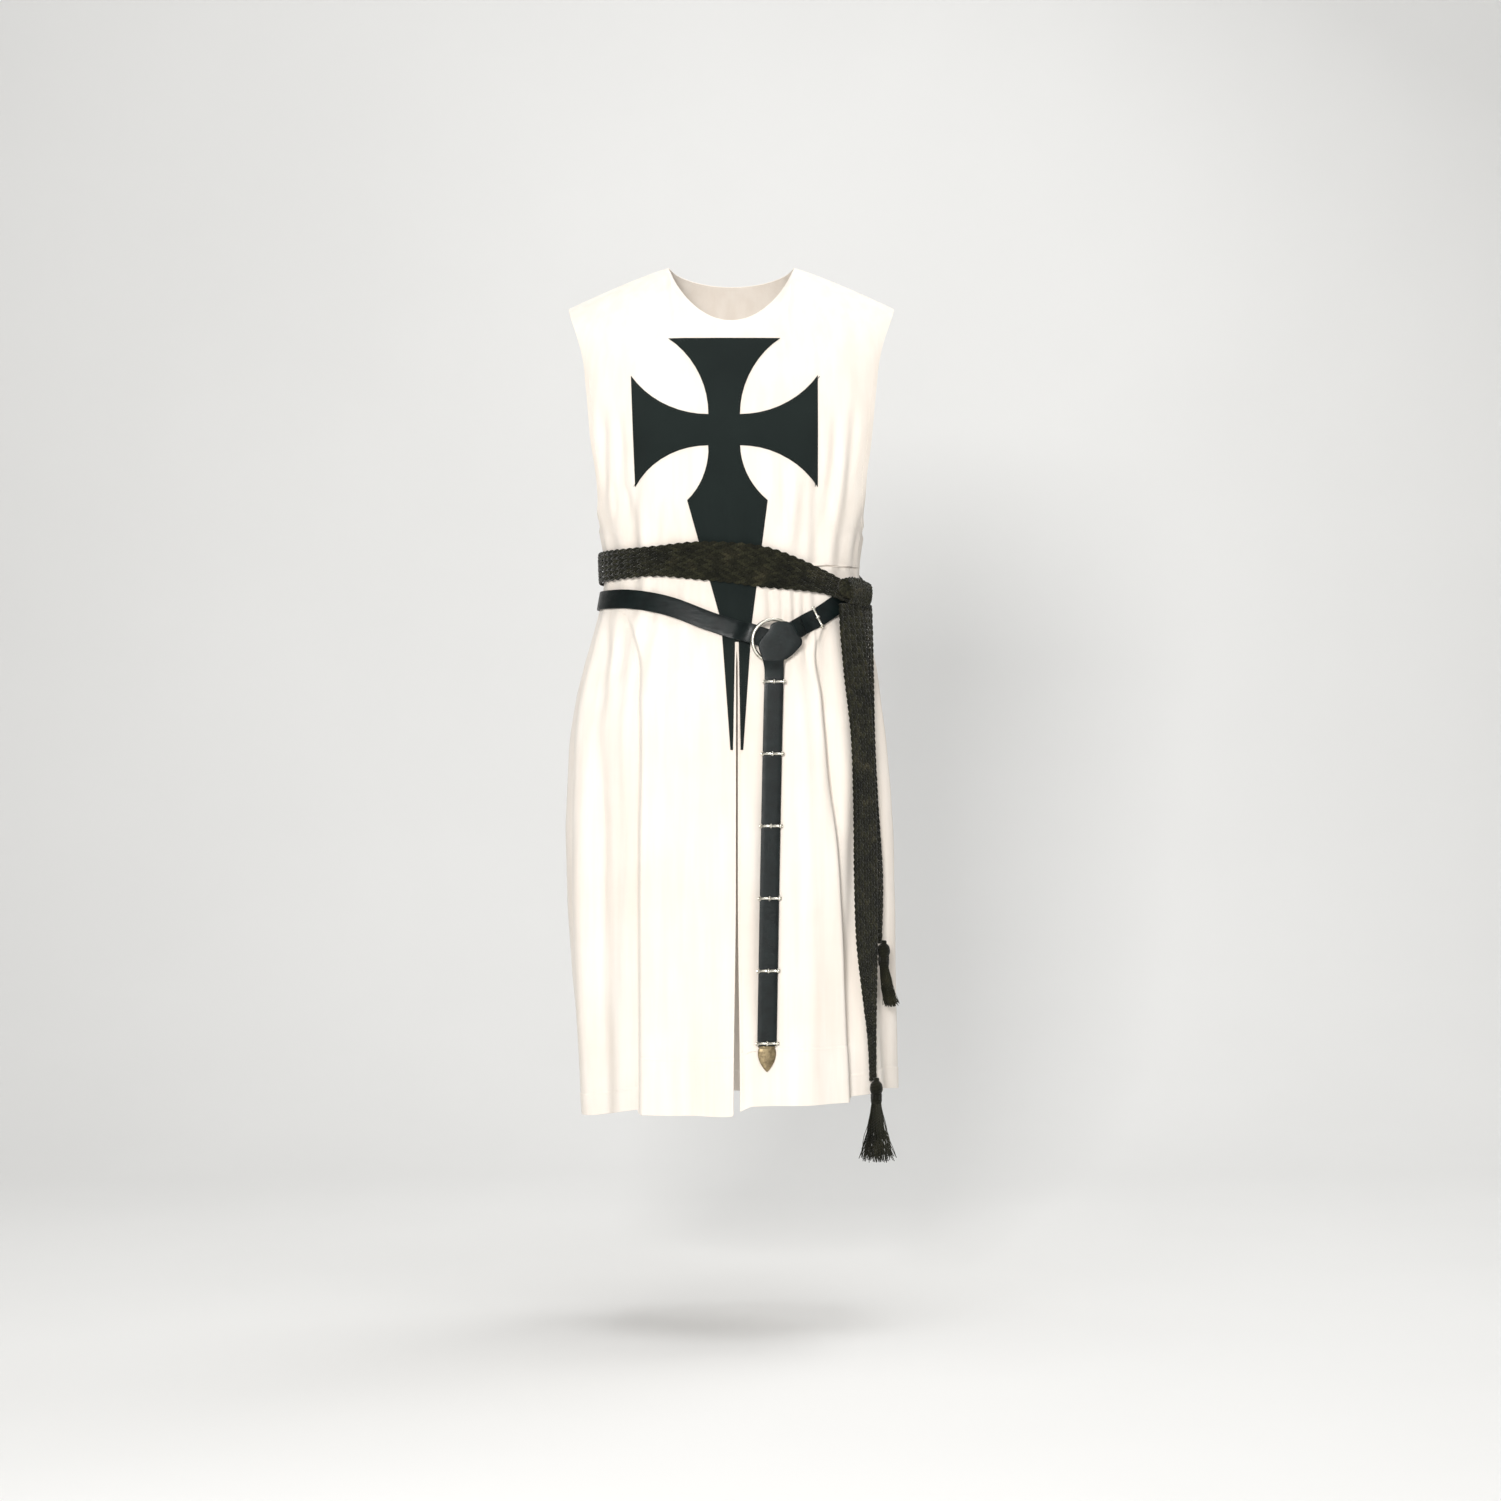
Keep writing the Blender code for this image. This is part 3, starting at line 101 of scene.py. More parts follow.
# Armhole: arc from the side line to the edge of the front and of the back
ARMHOLE = table(
    "z front back",
    (-0.16, 0.078, 0.078),
    (-0.25, 0.088, 0.086),
    (-0.32, 0.076, 0.074),
    (-0.36, 0.054, 0.052),
    (-0.385, 0.027, 0.026),
    (-0.4, 0.0, 0.0),
)

# Seams between the front or back panel and the side gores: arc from the panel's middle
SEAMS = table(
    "z front_left front_right back",
    (-0.46, 0.208, 0.208, 0.196),
    (-0.5, 0.184, 0.178, 0.184),
    (-0.56, 0.153, 0.142, 0.166),
    (-0.66, 0.146, 0.148, 0.156),
    (-0.89, 0.146, 0.172, 0.154),
    (-1.272, 0.146, 0.192, 0.158),
)

# Gathers under the belts: how far they stand out, by height
GATHERS = table(
    "z height",
    (-0.26, 0.0),
    (-0.36, 0.0018),
    (-0.41, 0.0024),
    (-0.45, 0.0014),
    (-0.51, 0.0018),
    (-0.54, 0.0024),
    (-0.61, 0.004),
    (-0.72, 0.0024),
    (-0.88, 0.0),
)
GATHER_WAVE = 0.036
MIDDLE_FADE = 0.035

# Long folds of the skirt and the chest: arcs at their top and end, negative to the left, heights of their top
# and end, how far they stand out, and their width. They grow and fade over these shares of their length.
FOLD_GROW, FOLD_PAST, FOLD_FADE = 0.45, 1.2, 0.6
FOLDS = (
    (-0.205, -0.212, -0.56, -1.272, -0.011, 0.02),
    (-0.248, -0.246, -0.6, -1.272, 0.01, 0.026),
    (-0.3, -0.33, -0.56, -1.272, -0.017, 0.032),
    (-0.1, -0.062, -0.64, -1.272, -0.0075, 0.026),
    (-0.06, -0.016, -0.6, -1.272, 0.0055, 0.022),
    (0.045, 0.062, -0.56, -1.272, -0.0055, 0.02),
    (0.085, 0.112, -0.56, -1.272, 0.0095, 0.03),
    (0.165, 0.24, -0.6, -1.272, 0.008, 0.024),
    (0.215, 0.296, -0.6, -1.272, -0.012, 0.026),
    (0.27, 0.345, -0.56, -1.272, 0.011, 0.03),
    (-0.36, -0.395, -0.56, -1.272, 0.006, 0.034),
    (-0.415, -0.452, -0.6, -1.272, -0.018, 0.03),
    (-0.465, -0.508, -0.56, -1.272, 0.018, 0.03),
    (-0.51, -0.562, -0.56, -1.272, -0.015, 0.028),
    (0.34, 0.4, -0.56, -1.272, -0.017, 0.034),
    (0.4, 0.458, -0.6, -1.272, 0.018, 0.032),
    (0.45, 0.515, -0.56, -1.272, -0.018, 0.028),
    (0.495, 0.57, -0.56, -1.272, 0.016, 0.03),
    (-0.165, -0.15, -0.2, -0.52, -0.006, 0.014),
    (-0.14, -0.125, -0.26, -0.52, 0.004, 0.012),
    (0.15, 0.12, -0.26, -0.52, -0.005, 0.014),
    (0.175, 0.15, -0.22, -0.52, 0.0035, 0.013),
    (0.34, 0.4, -0.2, -0.52, 0.005, 0.03),
    (-0.34, -0.4, -0.2, -0.52, 0.005, 0.03),
)

# Pleats at the front seams: the panel's edge stands proud and drops to the gore
PLEAT_HEIGHT = 0.011
PLEAT_CRISP = 0.005
PLEAT_REACH = 0.045
PLEAT_SET = 0.0075
PLEAT_FULL = 0.14

# Slit in the middle of the front
SLIT_ARC = 0.009
SLIT_TOP = -0.562
SLIT_HALF = 0.0016
SLIT_HEM_HALF = 0.005
FLAP_OUT = 0.003
FLAP_IN = 0.0065
FLAP_REACH = 0.022

# Hem: its height by arc; it steps at the front seams, and the right half hangs shorter
HEM = table(
    "arc z",
    (-0.62, -1.264),
    (-0.3, -1.275),
    (-0.23, -1.272),
    (-0.1463, -1.258),
    (-0.1457, -1.264),
    (0.0, -1.264),
    (0.03, -1.25),
    (0.1915, -1.247),
    (0.1925, -1.241),
    (0.28, -1.235),
    (0.42, -1.25),
    (0.62, -1.264),
)

# Cross sewn on the chest: three arms of one length and a long tapered foot
CROSS_CENTRE = (-0.01, -0.246)
CROSS_NECK = 0.0235
CROSS_ARM = 0.14
CROSS_ARM_HALF = 0.084
CROSS_FOOT_FLARE = 0.105
CROSS_FOOT_HALF = 0.06
CROSS_FOOT_TAPER = 0.285
CROSS_FOOT_TAPER_HALF = 0.023
CROSS_FOOT_END = 0.477
CROSS_FOOT_END_HALF = 0.0095
CROSS_SLIT_MARGIN = 0.004
CROSS_SLIT_MARGIN_TOP = 0.0012
CROSS_THICK = 0.0012
CROSS_SPARE, CROSS_SPARE_LOW = 0.03, 0.04
CUTTER_FRONT = -0.4
ARC_STEPS = 9

# Braided sash
SASH_LINE = table(
    "x z half",
    (-0.2, -0.446, 0.0235),
    (-0.115, -0.44, 0.0225),
    (-0.046, -0.44, 0.0285),
    (0.0, -0.443, 0.03),
    (0.044, -0.449, 0.0305),
    (0.105, -0.463, 0.0225),
    (0.138, -0.4735, 0.017),
    (0.17, -0.488, 0.0155),
    (0.2, -0.49, 0.019),
)
SASH_BACK_Z = -0.446
SASH_BACK_HALF = 0.028
SASH_THICK = 0.006
SASH_STATIONS = 48
SASH_SIDE_BLEND = 0.12

# Hanging sash ends: x and half width by height
SASH_ENDS = table(
    "z long_x long_half short_x short_half",
    (-0.49, 0.164, 0.022, 0.19, 0.0165),
    (-0.53, 0.167, 0.024, 0.192, 0.0185),
    (-0.6, 0.175, 0.024, 0.1955, 0.02),
    (-0.7, 0.188, 0.023, 0.2005, 0.021),
    (-0.8, 0.194, 0.024, 0.2085, 0.021),
    (-0.92, 0.197, 0.025, 0.2175, 0.02),
    (-1.015, 0.199, 0.023, 0.224, 0.0075),
    (-1.09, 0.202, 0.016, 0.224, 0.0075),
    (-1.16, 0.205, 0.009, 0.224, 0.0075),
    (-1.218, 0.206, 0.007, 0.224, 0.0075),
)
END_THICK = 0.0055
END_SLOPE = 0.3
ENDS_TOP = -0.504

# Knot: arc from its middle, height, half width and thickness
KNOT = (
    (-0.03, -0.48, 0.007, 0.008),
    (-0.028, -0.4805, 0.012, 0.012),
    (-0.016, -0.4835, 0.0175, 0.017),
    (0.0, -0.487, 0.019, 0.019),
    (0.016, -0.4895, 0.0165, 0.017),
    (0.028, -0.4905, 0.0115, 0.012),
    (0.03, -0.491, 0.0065, 0.008),
)
KNOT_X = 0.174

# The ends: height of the end, rows, how much the braid narrows, and the tassel's length, spread, lean along
# the cloth, reach forward and depth of its cone
ENDS = (
    ("short", -1.015, 16, 0.25, (0.096, 0.018, 0.018, 0.35, 0.35)),
    ("long", -1.218, 20, 0.0, (0.12, 0.03, 0.002, 0.0, 1.0)),
)
TASSEL_HEAD = 0.0095
HEAD_SIDES, FLUTE = 28, 0.035
# The head's rows: how far down, and the radius as a share
HEAD_PROFILE = (
    (-0.005, 0.34), (-0.004, 0.44), (0.0, 0.46), (0.0012, 0.62), (0.004, 0.86), (0.009, 0.99), (0.014, 0.98),
    (0.0175, 0.84), (0.0195, 0.78), (0.026, 0.78), (0.0285, 0.86), (0.033, 0.8), (0.034, 0.3),
)
WINDINGS, WIND_TOP, WIND_PITCH, WIND_SHARE, WIND_RADIUS = 5, 0.0197, 0.0014, 0.82, 0.0008
STRAND_ROOT, STRAND_ROOT_SHARE, STRAND_WAVE = 0.029, 0.7, 0.002

# Leather ring belt
BELT_HALF = 0.0145
BELT_THICK = 0.0025
# Its middle line by x and height, left and right of the ring
BELT_LEFT = (
    (-0.205, -0.496),
    (-0.15, -0.497),
    (-0.098, -0.507),
    (-0.03, -0.533),
    (0.016, -0.549),
)
BELT_RIGHT = (
    (0.111, -0.535),
    (0.135, -0.5215),
    (0.155, -0.506),
    (0.175, -0.498),
    (0.205, -0.496),
)
BELT_BACK_Z = -0.496
BELT_LEFT_END = 0.006
BELT_RIGHT_END = 0.113
BELT_SIDE = 0.185
BELT_RIGHT_TURN = 26.0
BELT_LEFT_TURN = 162.0
LOOP_END = 0.62
RING_X = 0.0612
RING_Z = -0.5605
RING_RADIUS = 0.0312
RING_WIRE = 0.0028

# Long end of the belt: its folded head over the ring, from the ring's middle
TONGUE_HEAD = table(
    "x z half",
    (0.0125, 0.0282, 0.006),
    (0.0123, 0.0268, 0.011),
    (0.0119, 0.0235, 0.0162),
    (0.0121, 0.0165, 0.0192),
    (0.0118, 0.009, 0.0245),
    (0.0108, 0.002, 0.0305),
    (0.0092, -0.005, 0.0325),
    (0.0062, -0.0135, 0.029),
    (0.0036, -0.0225, 0.0228),
    (-0.001, -0.0305, 0.0158),
)
TONGUE_END = -1.1605
TONGUE_ROWS = 14
TONGUE_END_X = 0.0535
HEAD_TO_TONGUE, TONGUE_HELD = 0.016, 0.0045
TIP_LENGTH = 0.038
BAR_PITCH = 0.1071
BAR_FIRST = -0.6215
BAR_SIZE = (0.0175, 0.003, 0.0015)
BAR_COUNT = 6
STRAP_BAR = 0.135
BAR_SEAT, STRAP_BAR_SEAT = 0.0002, 0.0012

# Sections of the bars along their half: share of the length, and size
BAR_PROFILE = (
    (0.0, 1.3), (0.05, 1.22), (0.1, 0.8), (0.14, 0.68), (0.45, 0.64), (0.68, 0.68), (0.72, 0.85),
    (0.77, 1.22), (0.82, 1.25), (0.87, 0.85), (0.91, 0.7), (0.95, 0.95), (0.99, 0.9), (1.0, 0.35),
)

# The metal end: share of its length, half width and depth, and the corners of its section
TIP_HALF, TIP_DEEP = 0.0135, 0.0021
TIP_PROFILE = (
    (0.0, 0.78, 1.0), (0.015, 0.92, 1.25), (0.05, 0.95, 1.3), (0.07, 0.86, 0.95), (0.11, 0.92, 0.95),
    (0.22, 1.0, 1.0), (0.35, 1.0, 1.0), (0.5, 0.92, 0.97), (0.65, 0.76, 0.92), (0.78, 0.55, 0.85),
    (0.88, 0.36, 0.75), (0.95, 0.2, 0.65), (1.0, 0.05, 0.4),
)
TIP_CORNERS = (
    (-1.0, 0.0), (-0.8, 0.75), (-0.35, 0.85), (0.0, 1.15), (0.35, 0.85), (0.8, 0.75), (1.0, 0.0),
    (0.8, -0.8), (0.0, -0.9), (-0.8, -0.8),
)

# Grid of the cloth, closer together at the hems' stitch lines
SECTION_STEPS = 120
STEP = 0.0008
LOFT_ROWS = tuple(np.linspace(0.0, 0.965, 28))
HEM_DEEP, HEM_DEEP_FRONT, HEM_FRONT_ARC = 0.033, 0.084, (0.146, 0.192)
HEM_STEP, HEM_PRESS = 0.0007, 0.0006
BODY_ROWS = tuple(sorted({round(float(z), 5) for z in np.concatenate([
    [ARMHOLE_END, GORE_TOP, SLIT_TOP, LOFT_END, -LENGTH],
    np.arange(-0.166, -LENGTH, -0.0064),
    np.arange(-1.18, -1.193, -0.0016),
    np.arange(-1.232, -1.244, -0.0016),
])}, reverse=True))
HALF_COLUMNS, BACK_COLUMNS, GORE_COLUMNS = 64, 131, 58
EDGE_ROUND = 0.0004

# Creases of the front and the back: x at their top and end, heights of their top and end, how far they stand
# out, troughs negative, and their width
UNEVEN = 0.00035
CREASES = {"front": (
    (-0.196, -0.186, -0.19, -0.37, -0.0044, 0.009),
    (-0.171, -0.163, -0.19, -0.385, -0.0052, 0.008),
    (-0.18, -0.172, -0.31, -0.385, -0.0034, 0.005),
    (-0.162, -0.155, -0.32, -0.385, -0.0034, 0.005),
    (-0.1365, -0.143, -0.24, -0.4, -0.0036, 0.009),
    (-0.108, -0.112, -0.34, -0.425, -0.0036, 0.007),
    (0.075, 0.082, -0.27, -0.425, -0.0042, 0.006),
    (0.0915, 0.093, -0.27, -0.43, 0.003, 0.007),
    (0.132, 0.124, -0.23, -0.43, -0.0044, 0.008),
    (0.158, 0.146, -0.19, -0.43, -0.005, 0.009),
    (0.186, 0.172, -0.18, -0.38, -0.004, 0.009),
    (0.054, 0.062, -0.44, -0.59, -0.004, 0.005),
    (0.075, 0.08, -0.44, -0.6, -0.0046, 0.005),
    (0.093, 0.097, -0.44, -0.61, -0.0044, 0.004),
    (0.108, 0.114, -0.45, -0.62, -0.0044, 0.004),
    (0.124, 0.131, -0.455, -0.64, -0.004, 0.004),
    (-0.087, -0.074, -0.462, -0.52, -0.0022, 0.006),
    (-0.12, -0.116, -0.47, -0.56, -0.0024, 0.006),
    (-0.188, -0.198, -0.52, -0.7, -0.006, 0.012),
    (-0.164, -0.176, -0.52, -0.64, -0.0044, 0.009),
    (-0.205, -0.197, -0.61, -1.06, -0.006, 0.01),
    (-0.17, -0.176, -0.64, -1.2, -0.004, 0.014),
    (-0.106, -0.01, -0.62, -1.06, -0.005, 0.018),
    (-0.052, -0.02, -0.64, -1.2, -0.007, 0.022),
    (-0.128, -0.112, -0.7, -1.24, -0.003, 0.014),
    (0.064, 0.05, -0.6, -1.24, -0.01, 0.026),
    (0.088, 0.108, -0.57, -1.19, -0.0052, 0.012),
    (0.126, 0.16, -0.54, -0.88, -0.0085, 0.012),
    (0.183, 0.19, -0.74, -1.23, -0.012, 0.016),
), "back": (
    (-0.15, -0.12, -0.2, -0.43, -0.0046, 0.009),
    (-0.08, -0.07, -0.24, -0.43, -0.0038, 0.008),
    (0.034, 0.028, -0.26, -0.44, -0.0034, 0.008),
    (0.1, 0.09, -0.22, -0.43, -0.0042, 0.008),
    (0.16, 0.132, -0.2, -0.43, -0.0046, 0.009),
    (-0.11, -0.126, -0.48, -0.76, -0.0052, 0.011),
    (-0.05, -0.062, -0.48, -0.7, -0.0042, 0.009),
    (0.036, 0.042, -0.48, -0.82, -0.005, 0.012),
    (0.07, 0.084, -0.48, -0.68, -0.0042, 0.009),
    (0.124, 0.15, -0.48, -0.86, -0.0052, 0.012),
    (-0.09, -0.04, -0.7, -1.22, -0.0064, 0.02),
    (0.08, 0.05, -0.76, -1.24, -0.007, 0.022),
)}

# Stitches
STITCH_PITCH, STITCH_SHARE, STITCH_RADIUS = 0.0058, 0.62, 0.00042
STITCH_OFF, SLIT_STITCH_OFF, GORE_STITCH_UP, HEM_STITCH_DOWN = 0.003, 0.004, 0.0035, 0.0025
STITCH_ROW, HOLE_ROW, LEVEL_ROW = 0.012, 0.008, 0.006
ARMHOLE_TURN = 0.009
CROSS_STITCH_IN = 0.003

# Braid: its strands cross from edge to edge
BRAID_STEP = 0.0024
BAND_STRANDS, BAND_TRAVERSE = 22, 0.145
END_STRANDS, END_TRAVERSE = 16, 0.074
STRAND_FILL, STRAND_MOST, STRAND_DEEP, STRAND_LIFT = 0.84, 0.0036, 0.0014, 0.0016
STRAND_CORNERS = 6
KNOT_STRANDS, KNOT_TRAVERSE, WRAP_TRAVERSE, KNOT_BRAID_THICK = 12, 0.034, 0.03, 0.004
KNOT_WRAPS = ((0.1, -0.012, 0.013), (-0.16, 0.012, 0.012))
TASSEL_STRANDS, STRAND_THIN, TASSEL_SEED = 150, 0.00058, 7

# Leather and metal
LEATHER_STEP = 0.004
HEAD_STEPS = 34
RING_STEPS, RING_SIDES = 96, 20
LEATHER_CORNERS = (
    (-0.55, 1.0), (0.0, 1.1), (0.55, 1.0), (0.9, 0.92), (0.98, 0.62), (1.0, 0.0), (0.98, -0.62), (0.9, -0.92),
    (0.0, -1.0), (-0.9, -0.92), (-0.98, -0.62), (-1.0, 0.0), (-0.98, 0.62), (-0.9, 0.92),
)

# Finishes
PLACE = "cloth_place"
CLOTH_THREAD = 0.0011
CLOTH_LIGHT, CLOTH_WARM, CLOTH_SHADE = (0.88, 0.83, 0.765), (0.84, 0.765, 0.685), (0.66, 0.56, 0.46)
# The cross's cloth: two tones at random, and painted shade for the gaps between its threads
CROSS_DEEP, CROSS_TINT, CROSS_GAP_SHADE = (0.0035, 0.008, 0.0072), (0.0065, 0.013, 0.0115), (0.001, 0.002, 0.002)
YARN_LAY = 0.0042
# Painted shade for the hollows between the yarn's plies, also used as the darker tone of some strands
YARN_GAP_SHADE_AND_STRAND_TONE = (0.002, 0.002, 0.001)
YARN_DARK, YARN_OLIVE, YARN_LIGHT = (0.007, 0.0075, 0.0035), (0.021, 0.021, 0.01), (0.046, 0.04, 0.021)
LEATHER_DEEP, LEATHER_RUBBED = (0.0022, 0.0042, 0.0042), (0.0065, 0.012, 0.0118)
SILVER_BRIGHT, SILVER_DULL = (0.8, 0.78, 0.7), (0.42, 0.39, 0.32)
BRONZE_BRIGHT, BRONZE_DULL = (0.33, 0.26, 0.15), (0.12, 0.09, 0.055)

# Camera at the photograph's angle
SENSOR, FOCAL_PIXELS, IMAGE_PIXELS = 36.0, 3000.0, 1501.0
CAMERA_PLACE = (0.0293, -4.6, -0.7238)

# Studio
FLOOR = -1.6
STAGE_REACH, STAGE_DEPTH, STAGE_BEND, STAGE_HEIGHT = 9.0, 3.4, 1.8, 7.0
STAGE_LIGHT, STAGE_SHADE = (0.86, 0.86, 0.85), (0.83, 0.83, 0.82)
WORLD_COLOUR, WORLD_STRENGTH = (1.0, 0.99, 0.97), 0.24
LIGHTS = (
    ("key", (-0.7, -4.7, 0.25), (0.0, 0.0, -0.72), 190.0, 0.9, (1.0, 0.99, 0.98)),
    ("fill", (2.8, -3.4, 0.2), (0.0, 0.0, -0.7), 16.0, 2.4, (1.0, 0.99, 0.98)),
    ("top", (0.0, -0.4, 2.8), (0.0, 1.6, -1.2), 60.0, 2.2, (1.0, 1.0, 1.0)),
    ("back", (1.6, 1.3, 2.2), (0.0, 0.0, -0.7), 34.0, 1.6, (1.0, 1.0, 1.0)),
)


def hermite(t, span, start, start_way, end, end_way):
    """A cubic curve between two ends, which it leaves along the given ways."""
    return (
        (2 * t**3 - 3 * t**2 + 1) * start
        + (t**3 - 2 * t**2 + t) * span * start_way
        + (3 * t**2 - 2 * t**3) * end
        + (t**3 - t**2) * span * end_way
    )


def smooth(x, xs, ys):
    """A curve through the table's points with no overshoot at its ends; xs may rise or fall."""
    xs, ys = np.asarray(xs, float), np.asarray(ys, float)
    if xs[0] > xs[-1]:
        xs, ys = xs[::-1], ys[::-1]
    slopes = np.gradient(ys, xs)
    x = np.clip(x, xs[0], xs[-1])
    i = np.clip(np.searchsorted(xs, x, side="right") - 1, 0, len(xs) - 2)
    span = xs[i + 1] - xs[i]
    return hermite((x - xs[i]) / span, span, ys[i], slopes[i], ys[i + 1], slopes[i + 1])


def read(rows, name, at, key="z"):
    """A table's column on a smooth curve, where its column key has the value at."""
    return float(smooth(at, rows[key], rows[name]))


def ease(x):
    """0 to 1 with flat ends."""
    x = np.clip(x, 0.0, 1.0)
    return x * x * (3 - 2 * x)


def unit(v):
    v = np.asarray(v, float)
    return v / np.maximum(np.linalg.norm(v, axis=-1, keepdims=True), 1e-12)


@lru_cache(maxsize=None)
def outline(z):
    """The plan outline at height z: arc from the front's middle (negative to the left), x and y."""
    left, right, front, back, square = (read(SECTIONS, name, z) for name in list(SECTIONS)[1:])
    turn = np.linspace(0, math.pi, 2 * SECTION_STEPS + 1)
    power = 2 / square
    side = np.sin(turn) ** power
    ahead = -np.sign(np.cos(turn)) * np.abs(np.cos(turn)) ** power
    y = ahead * np.where(ahead < 0, front, back)
    halves = []
    for half_width in (left, right):
        x = side * half_width
        arc = np.concatenate([[0], np.cumsum(np.hypot(np.diff(x), np.diff(y)))])
        halves.append((arc, x))
    (arc_l, x_l), (arc_r, x_r) = halves
    return (
        np.concatenate([-arc_l[:0:-1], arc_r]),
        np.concatenate([-x_l[:0:-1], x_r]),
        np.concatenate([y[:0:-1], y]),
    )


def side_arc(z, way):
    """Arc from the front's middle to the side line; way is -1 to the left and 1 to the right."""
    arc = outline(z)[0]
    return abs(arc[2 * SECTION_STEPS + way * SECTION_STEPS])


def back_arc(z, way):
    """Arc from the front's middle to the back's middle."""
    return abs(outline(z)[0][0 if way < 0 else -1])


def arc_at_x(z, x):
    """The arc on the front at which the plan outline has this x."""
    arc, xs, _ = outline(z)
    front = slice(SECTION_STEPS, 3 * SECTION_STEPS + 1)
    return np.interp(x, xs[front], arc[front])


def plan(arc, z):
    """Points and outward normals of the plan outline at height z, in x and y."""
    arcs, xs, ys = outline(round(float(z), 6))

    def at(place):
        return np.stack([np.interp(place, arcs, xs), np.interp(place, arcs, ys)], -1)

    along = unit(at(arc + STEP * 4) - at(arc - STEP * 4))
    return at(arc), np.stack([along[..., 1], -along[..., 0]], -1)


def seat(arc, z):
    """One point of the plan outline in space, with the directions across it and out of it."""
    here, outward = plan(np.array([arc]), z)
    out = np.append(outward[0], 0.0)
    return np.append(here[0], z), np.array((-out[1], out[0], 0.0)), out


def front_arc(z, x):
    return float(arc_at_x(round(z, 6), x))


def front_seam(z, way):
    """Arc of the seam between the front and a gore."""
    side = side_arc(z, way)
    if z >= GORE_TOP:
        return side - (GORE_TOP_HALF if z == GORE_TOP else 0.0)
    return min(read(SEAMS, "front_left" if way < 0 else "front_right", z), side - GORE_TOP_HALF)


def back_seam(z, way):
    """Arc of the seam between the back and a gore, from the front's middle."""
    side = side_arc(z, way)
    if z >= GORE_TOP:
        return side + (GORE_TOP_HALF if z == GORE_TOP else 0.0)
    return max(back_arc(z, way) - read(SEAMS, "back", z), side + GORE_TOP_HALF)


def armhole(z, name):
    """Arc from the side line to the armhole's edge."""
    return max(0.0, float(smooth(-z, -ARMHOLE["z"], ARMHOLE[name])))


def front_edge(z, way):
    """Arc of the front panel's edge: the armhole, the side seam or the gore's seam."""
    if z > ARMHOLE_END:
        return side_arc(z, way) - armhole(z, "front")
    return front_seam(z, way)


def back_edge(z, way):
    if z > ARMHOLE_END:
        return side_arc(z, way) + armhole(z, "back")
    return back_seam(z, way)


def off_middle(arc, z):
    """0 at the back's middle, where the arcs of the two halves end, and 1 away from it."""
    ends = np.where(np.asarray(arc) < 0, back_arc(z, -1), back_arc(z, 1))
    return ease((ends - np.abs(arc)) / MIDDLE_FADE)


def gathers(arc, z):
    """Small uneven waves that the belts press into the cloth."""
    height = float(np.interp(-z, -GATHERS["z"], GATHERS["height"]))
    at_waist = arc * back_arc(WAIST, 1) / back_arc(z, 1)
    phase = 2 * math.pi * at_waist / GATHER_WAVE
    wave = 0.7 * np.sin(phase + 0.6 * np.sin(phase * 0.31)) + 0.3 * np.sin(phase * 0.53 + 1.9)
    return height * wave * off_middle(arc, z)


def long_folds(arc, z):
    """Folds that follow a line down the cloth; those that reach the hem run on to it."""
    total = np.zeros_like(arc)
    for arc_top, arc_end, z_top, z_end, height, width in FOLDS:
        down = (z_top - z) / (z_top - z_end)
        if down <= 0 or (z_end > -LENGTH and down >= FOLD_PAST):
            continue
        grown = ease(down / FOLD_GROW)
        if z_end > -LENGTH:
            grown *= ease((FOLD_PAST - down) / FOLD_FADE)
        middle = arc_top + (arc_end - arc_top) * down
        total += height * grown * np.exp(-(((arc - middle) / width) ** 2))
    return total


def pleats(arc, z):
    """The front panel's two edges, each a ridge that drops steeply to the gore."""
    grown = ease((GORE_TOP - 0.045 - z) / PLEAT_FULL)
    total = np.zeros_like(arc)
    for way in (-1, 1):
        inward = front_seam(z, way) - PLEAT_SET - way * arc
        total += np.tanh(inward / PLEAT_CRISP) * np.exp(-np.abs(inward) / PLEAT_REACH)
    return PLEAT_HEIGHT * grown * total


def slit_half(z):
    """Half the slit's width."""
    down = (SLIT_TOP - z) / (SLIT_TOP + LENGTH)
    return SLIT_HALF * ease(down / 0.06) + (SLIT_HEM_HALF - SLIT_HALF) * ease((down - 0.5) / 0.5)


def slit_arc(z):
    return SLIT_ARC * ease((CROSS_CENTRE[1] - z) / (CROSS_CENTRE[1] - SLIT_TOP))


def flap(arc, z, way):
    """The left flap lies a little outside the right one."""
    grown = ease((SLIT_TOP - z) / 0.15)
    near = np.exp(-np.abs(arc - slit_arc(z)) / FLAP_REACH)
    return grown * near * (FLAP_OUT if way < 0 else -FLAP_IN)


def hem_height(arc):
    return np.interp(arc, HEM["arc"], HEM["z"])


def hem_stretch(arc, z):
    """The real height of a point of the row z: rows spread so that the last one is the hem."""
    if z >= WAIST:
        return np.full_like(arc, z)
    return WAIST + (z - WAIST) * (hem_height(arc) - WAIST) / (-LENGTH - WAIST)


def back_arc_at_x(z, x):
    """The arc on the back at which the plan outline has this x."""
    arc, xs, _ = outline(z)
    if x >= 0:
        return float(np.interp(-x, -xs[3 * SECTION_STEPS:], arc[3 * SECTION_STEPS:]))
    return float(np.interp(x, xs[SECTION_STEPS::-1], arc[SECTION_STEPS::-1]))


@lru_cache(maxsize=None)
def crease_arcs():
    """The creases with their ends given as arcs."""
    rows = []
    for side, arc_of in (("front", arc_at_x), ("back", back_arc_at_x)):
        for x_top, x_end, z_top, z_end, height, width in CREASES[side]:
            ends = [float(arc_of(round(min(z, LOFT_END), 6), x)) for z, x in ((z_top, x_top), (z_end, x_end))]
            rows.append((*ends, z_top, z_end, height, width))
    return rows


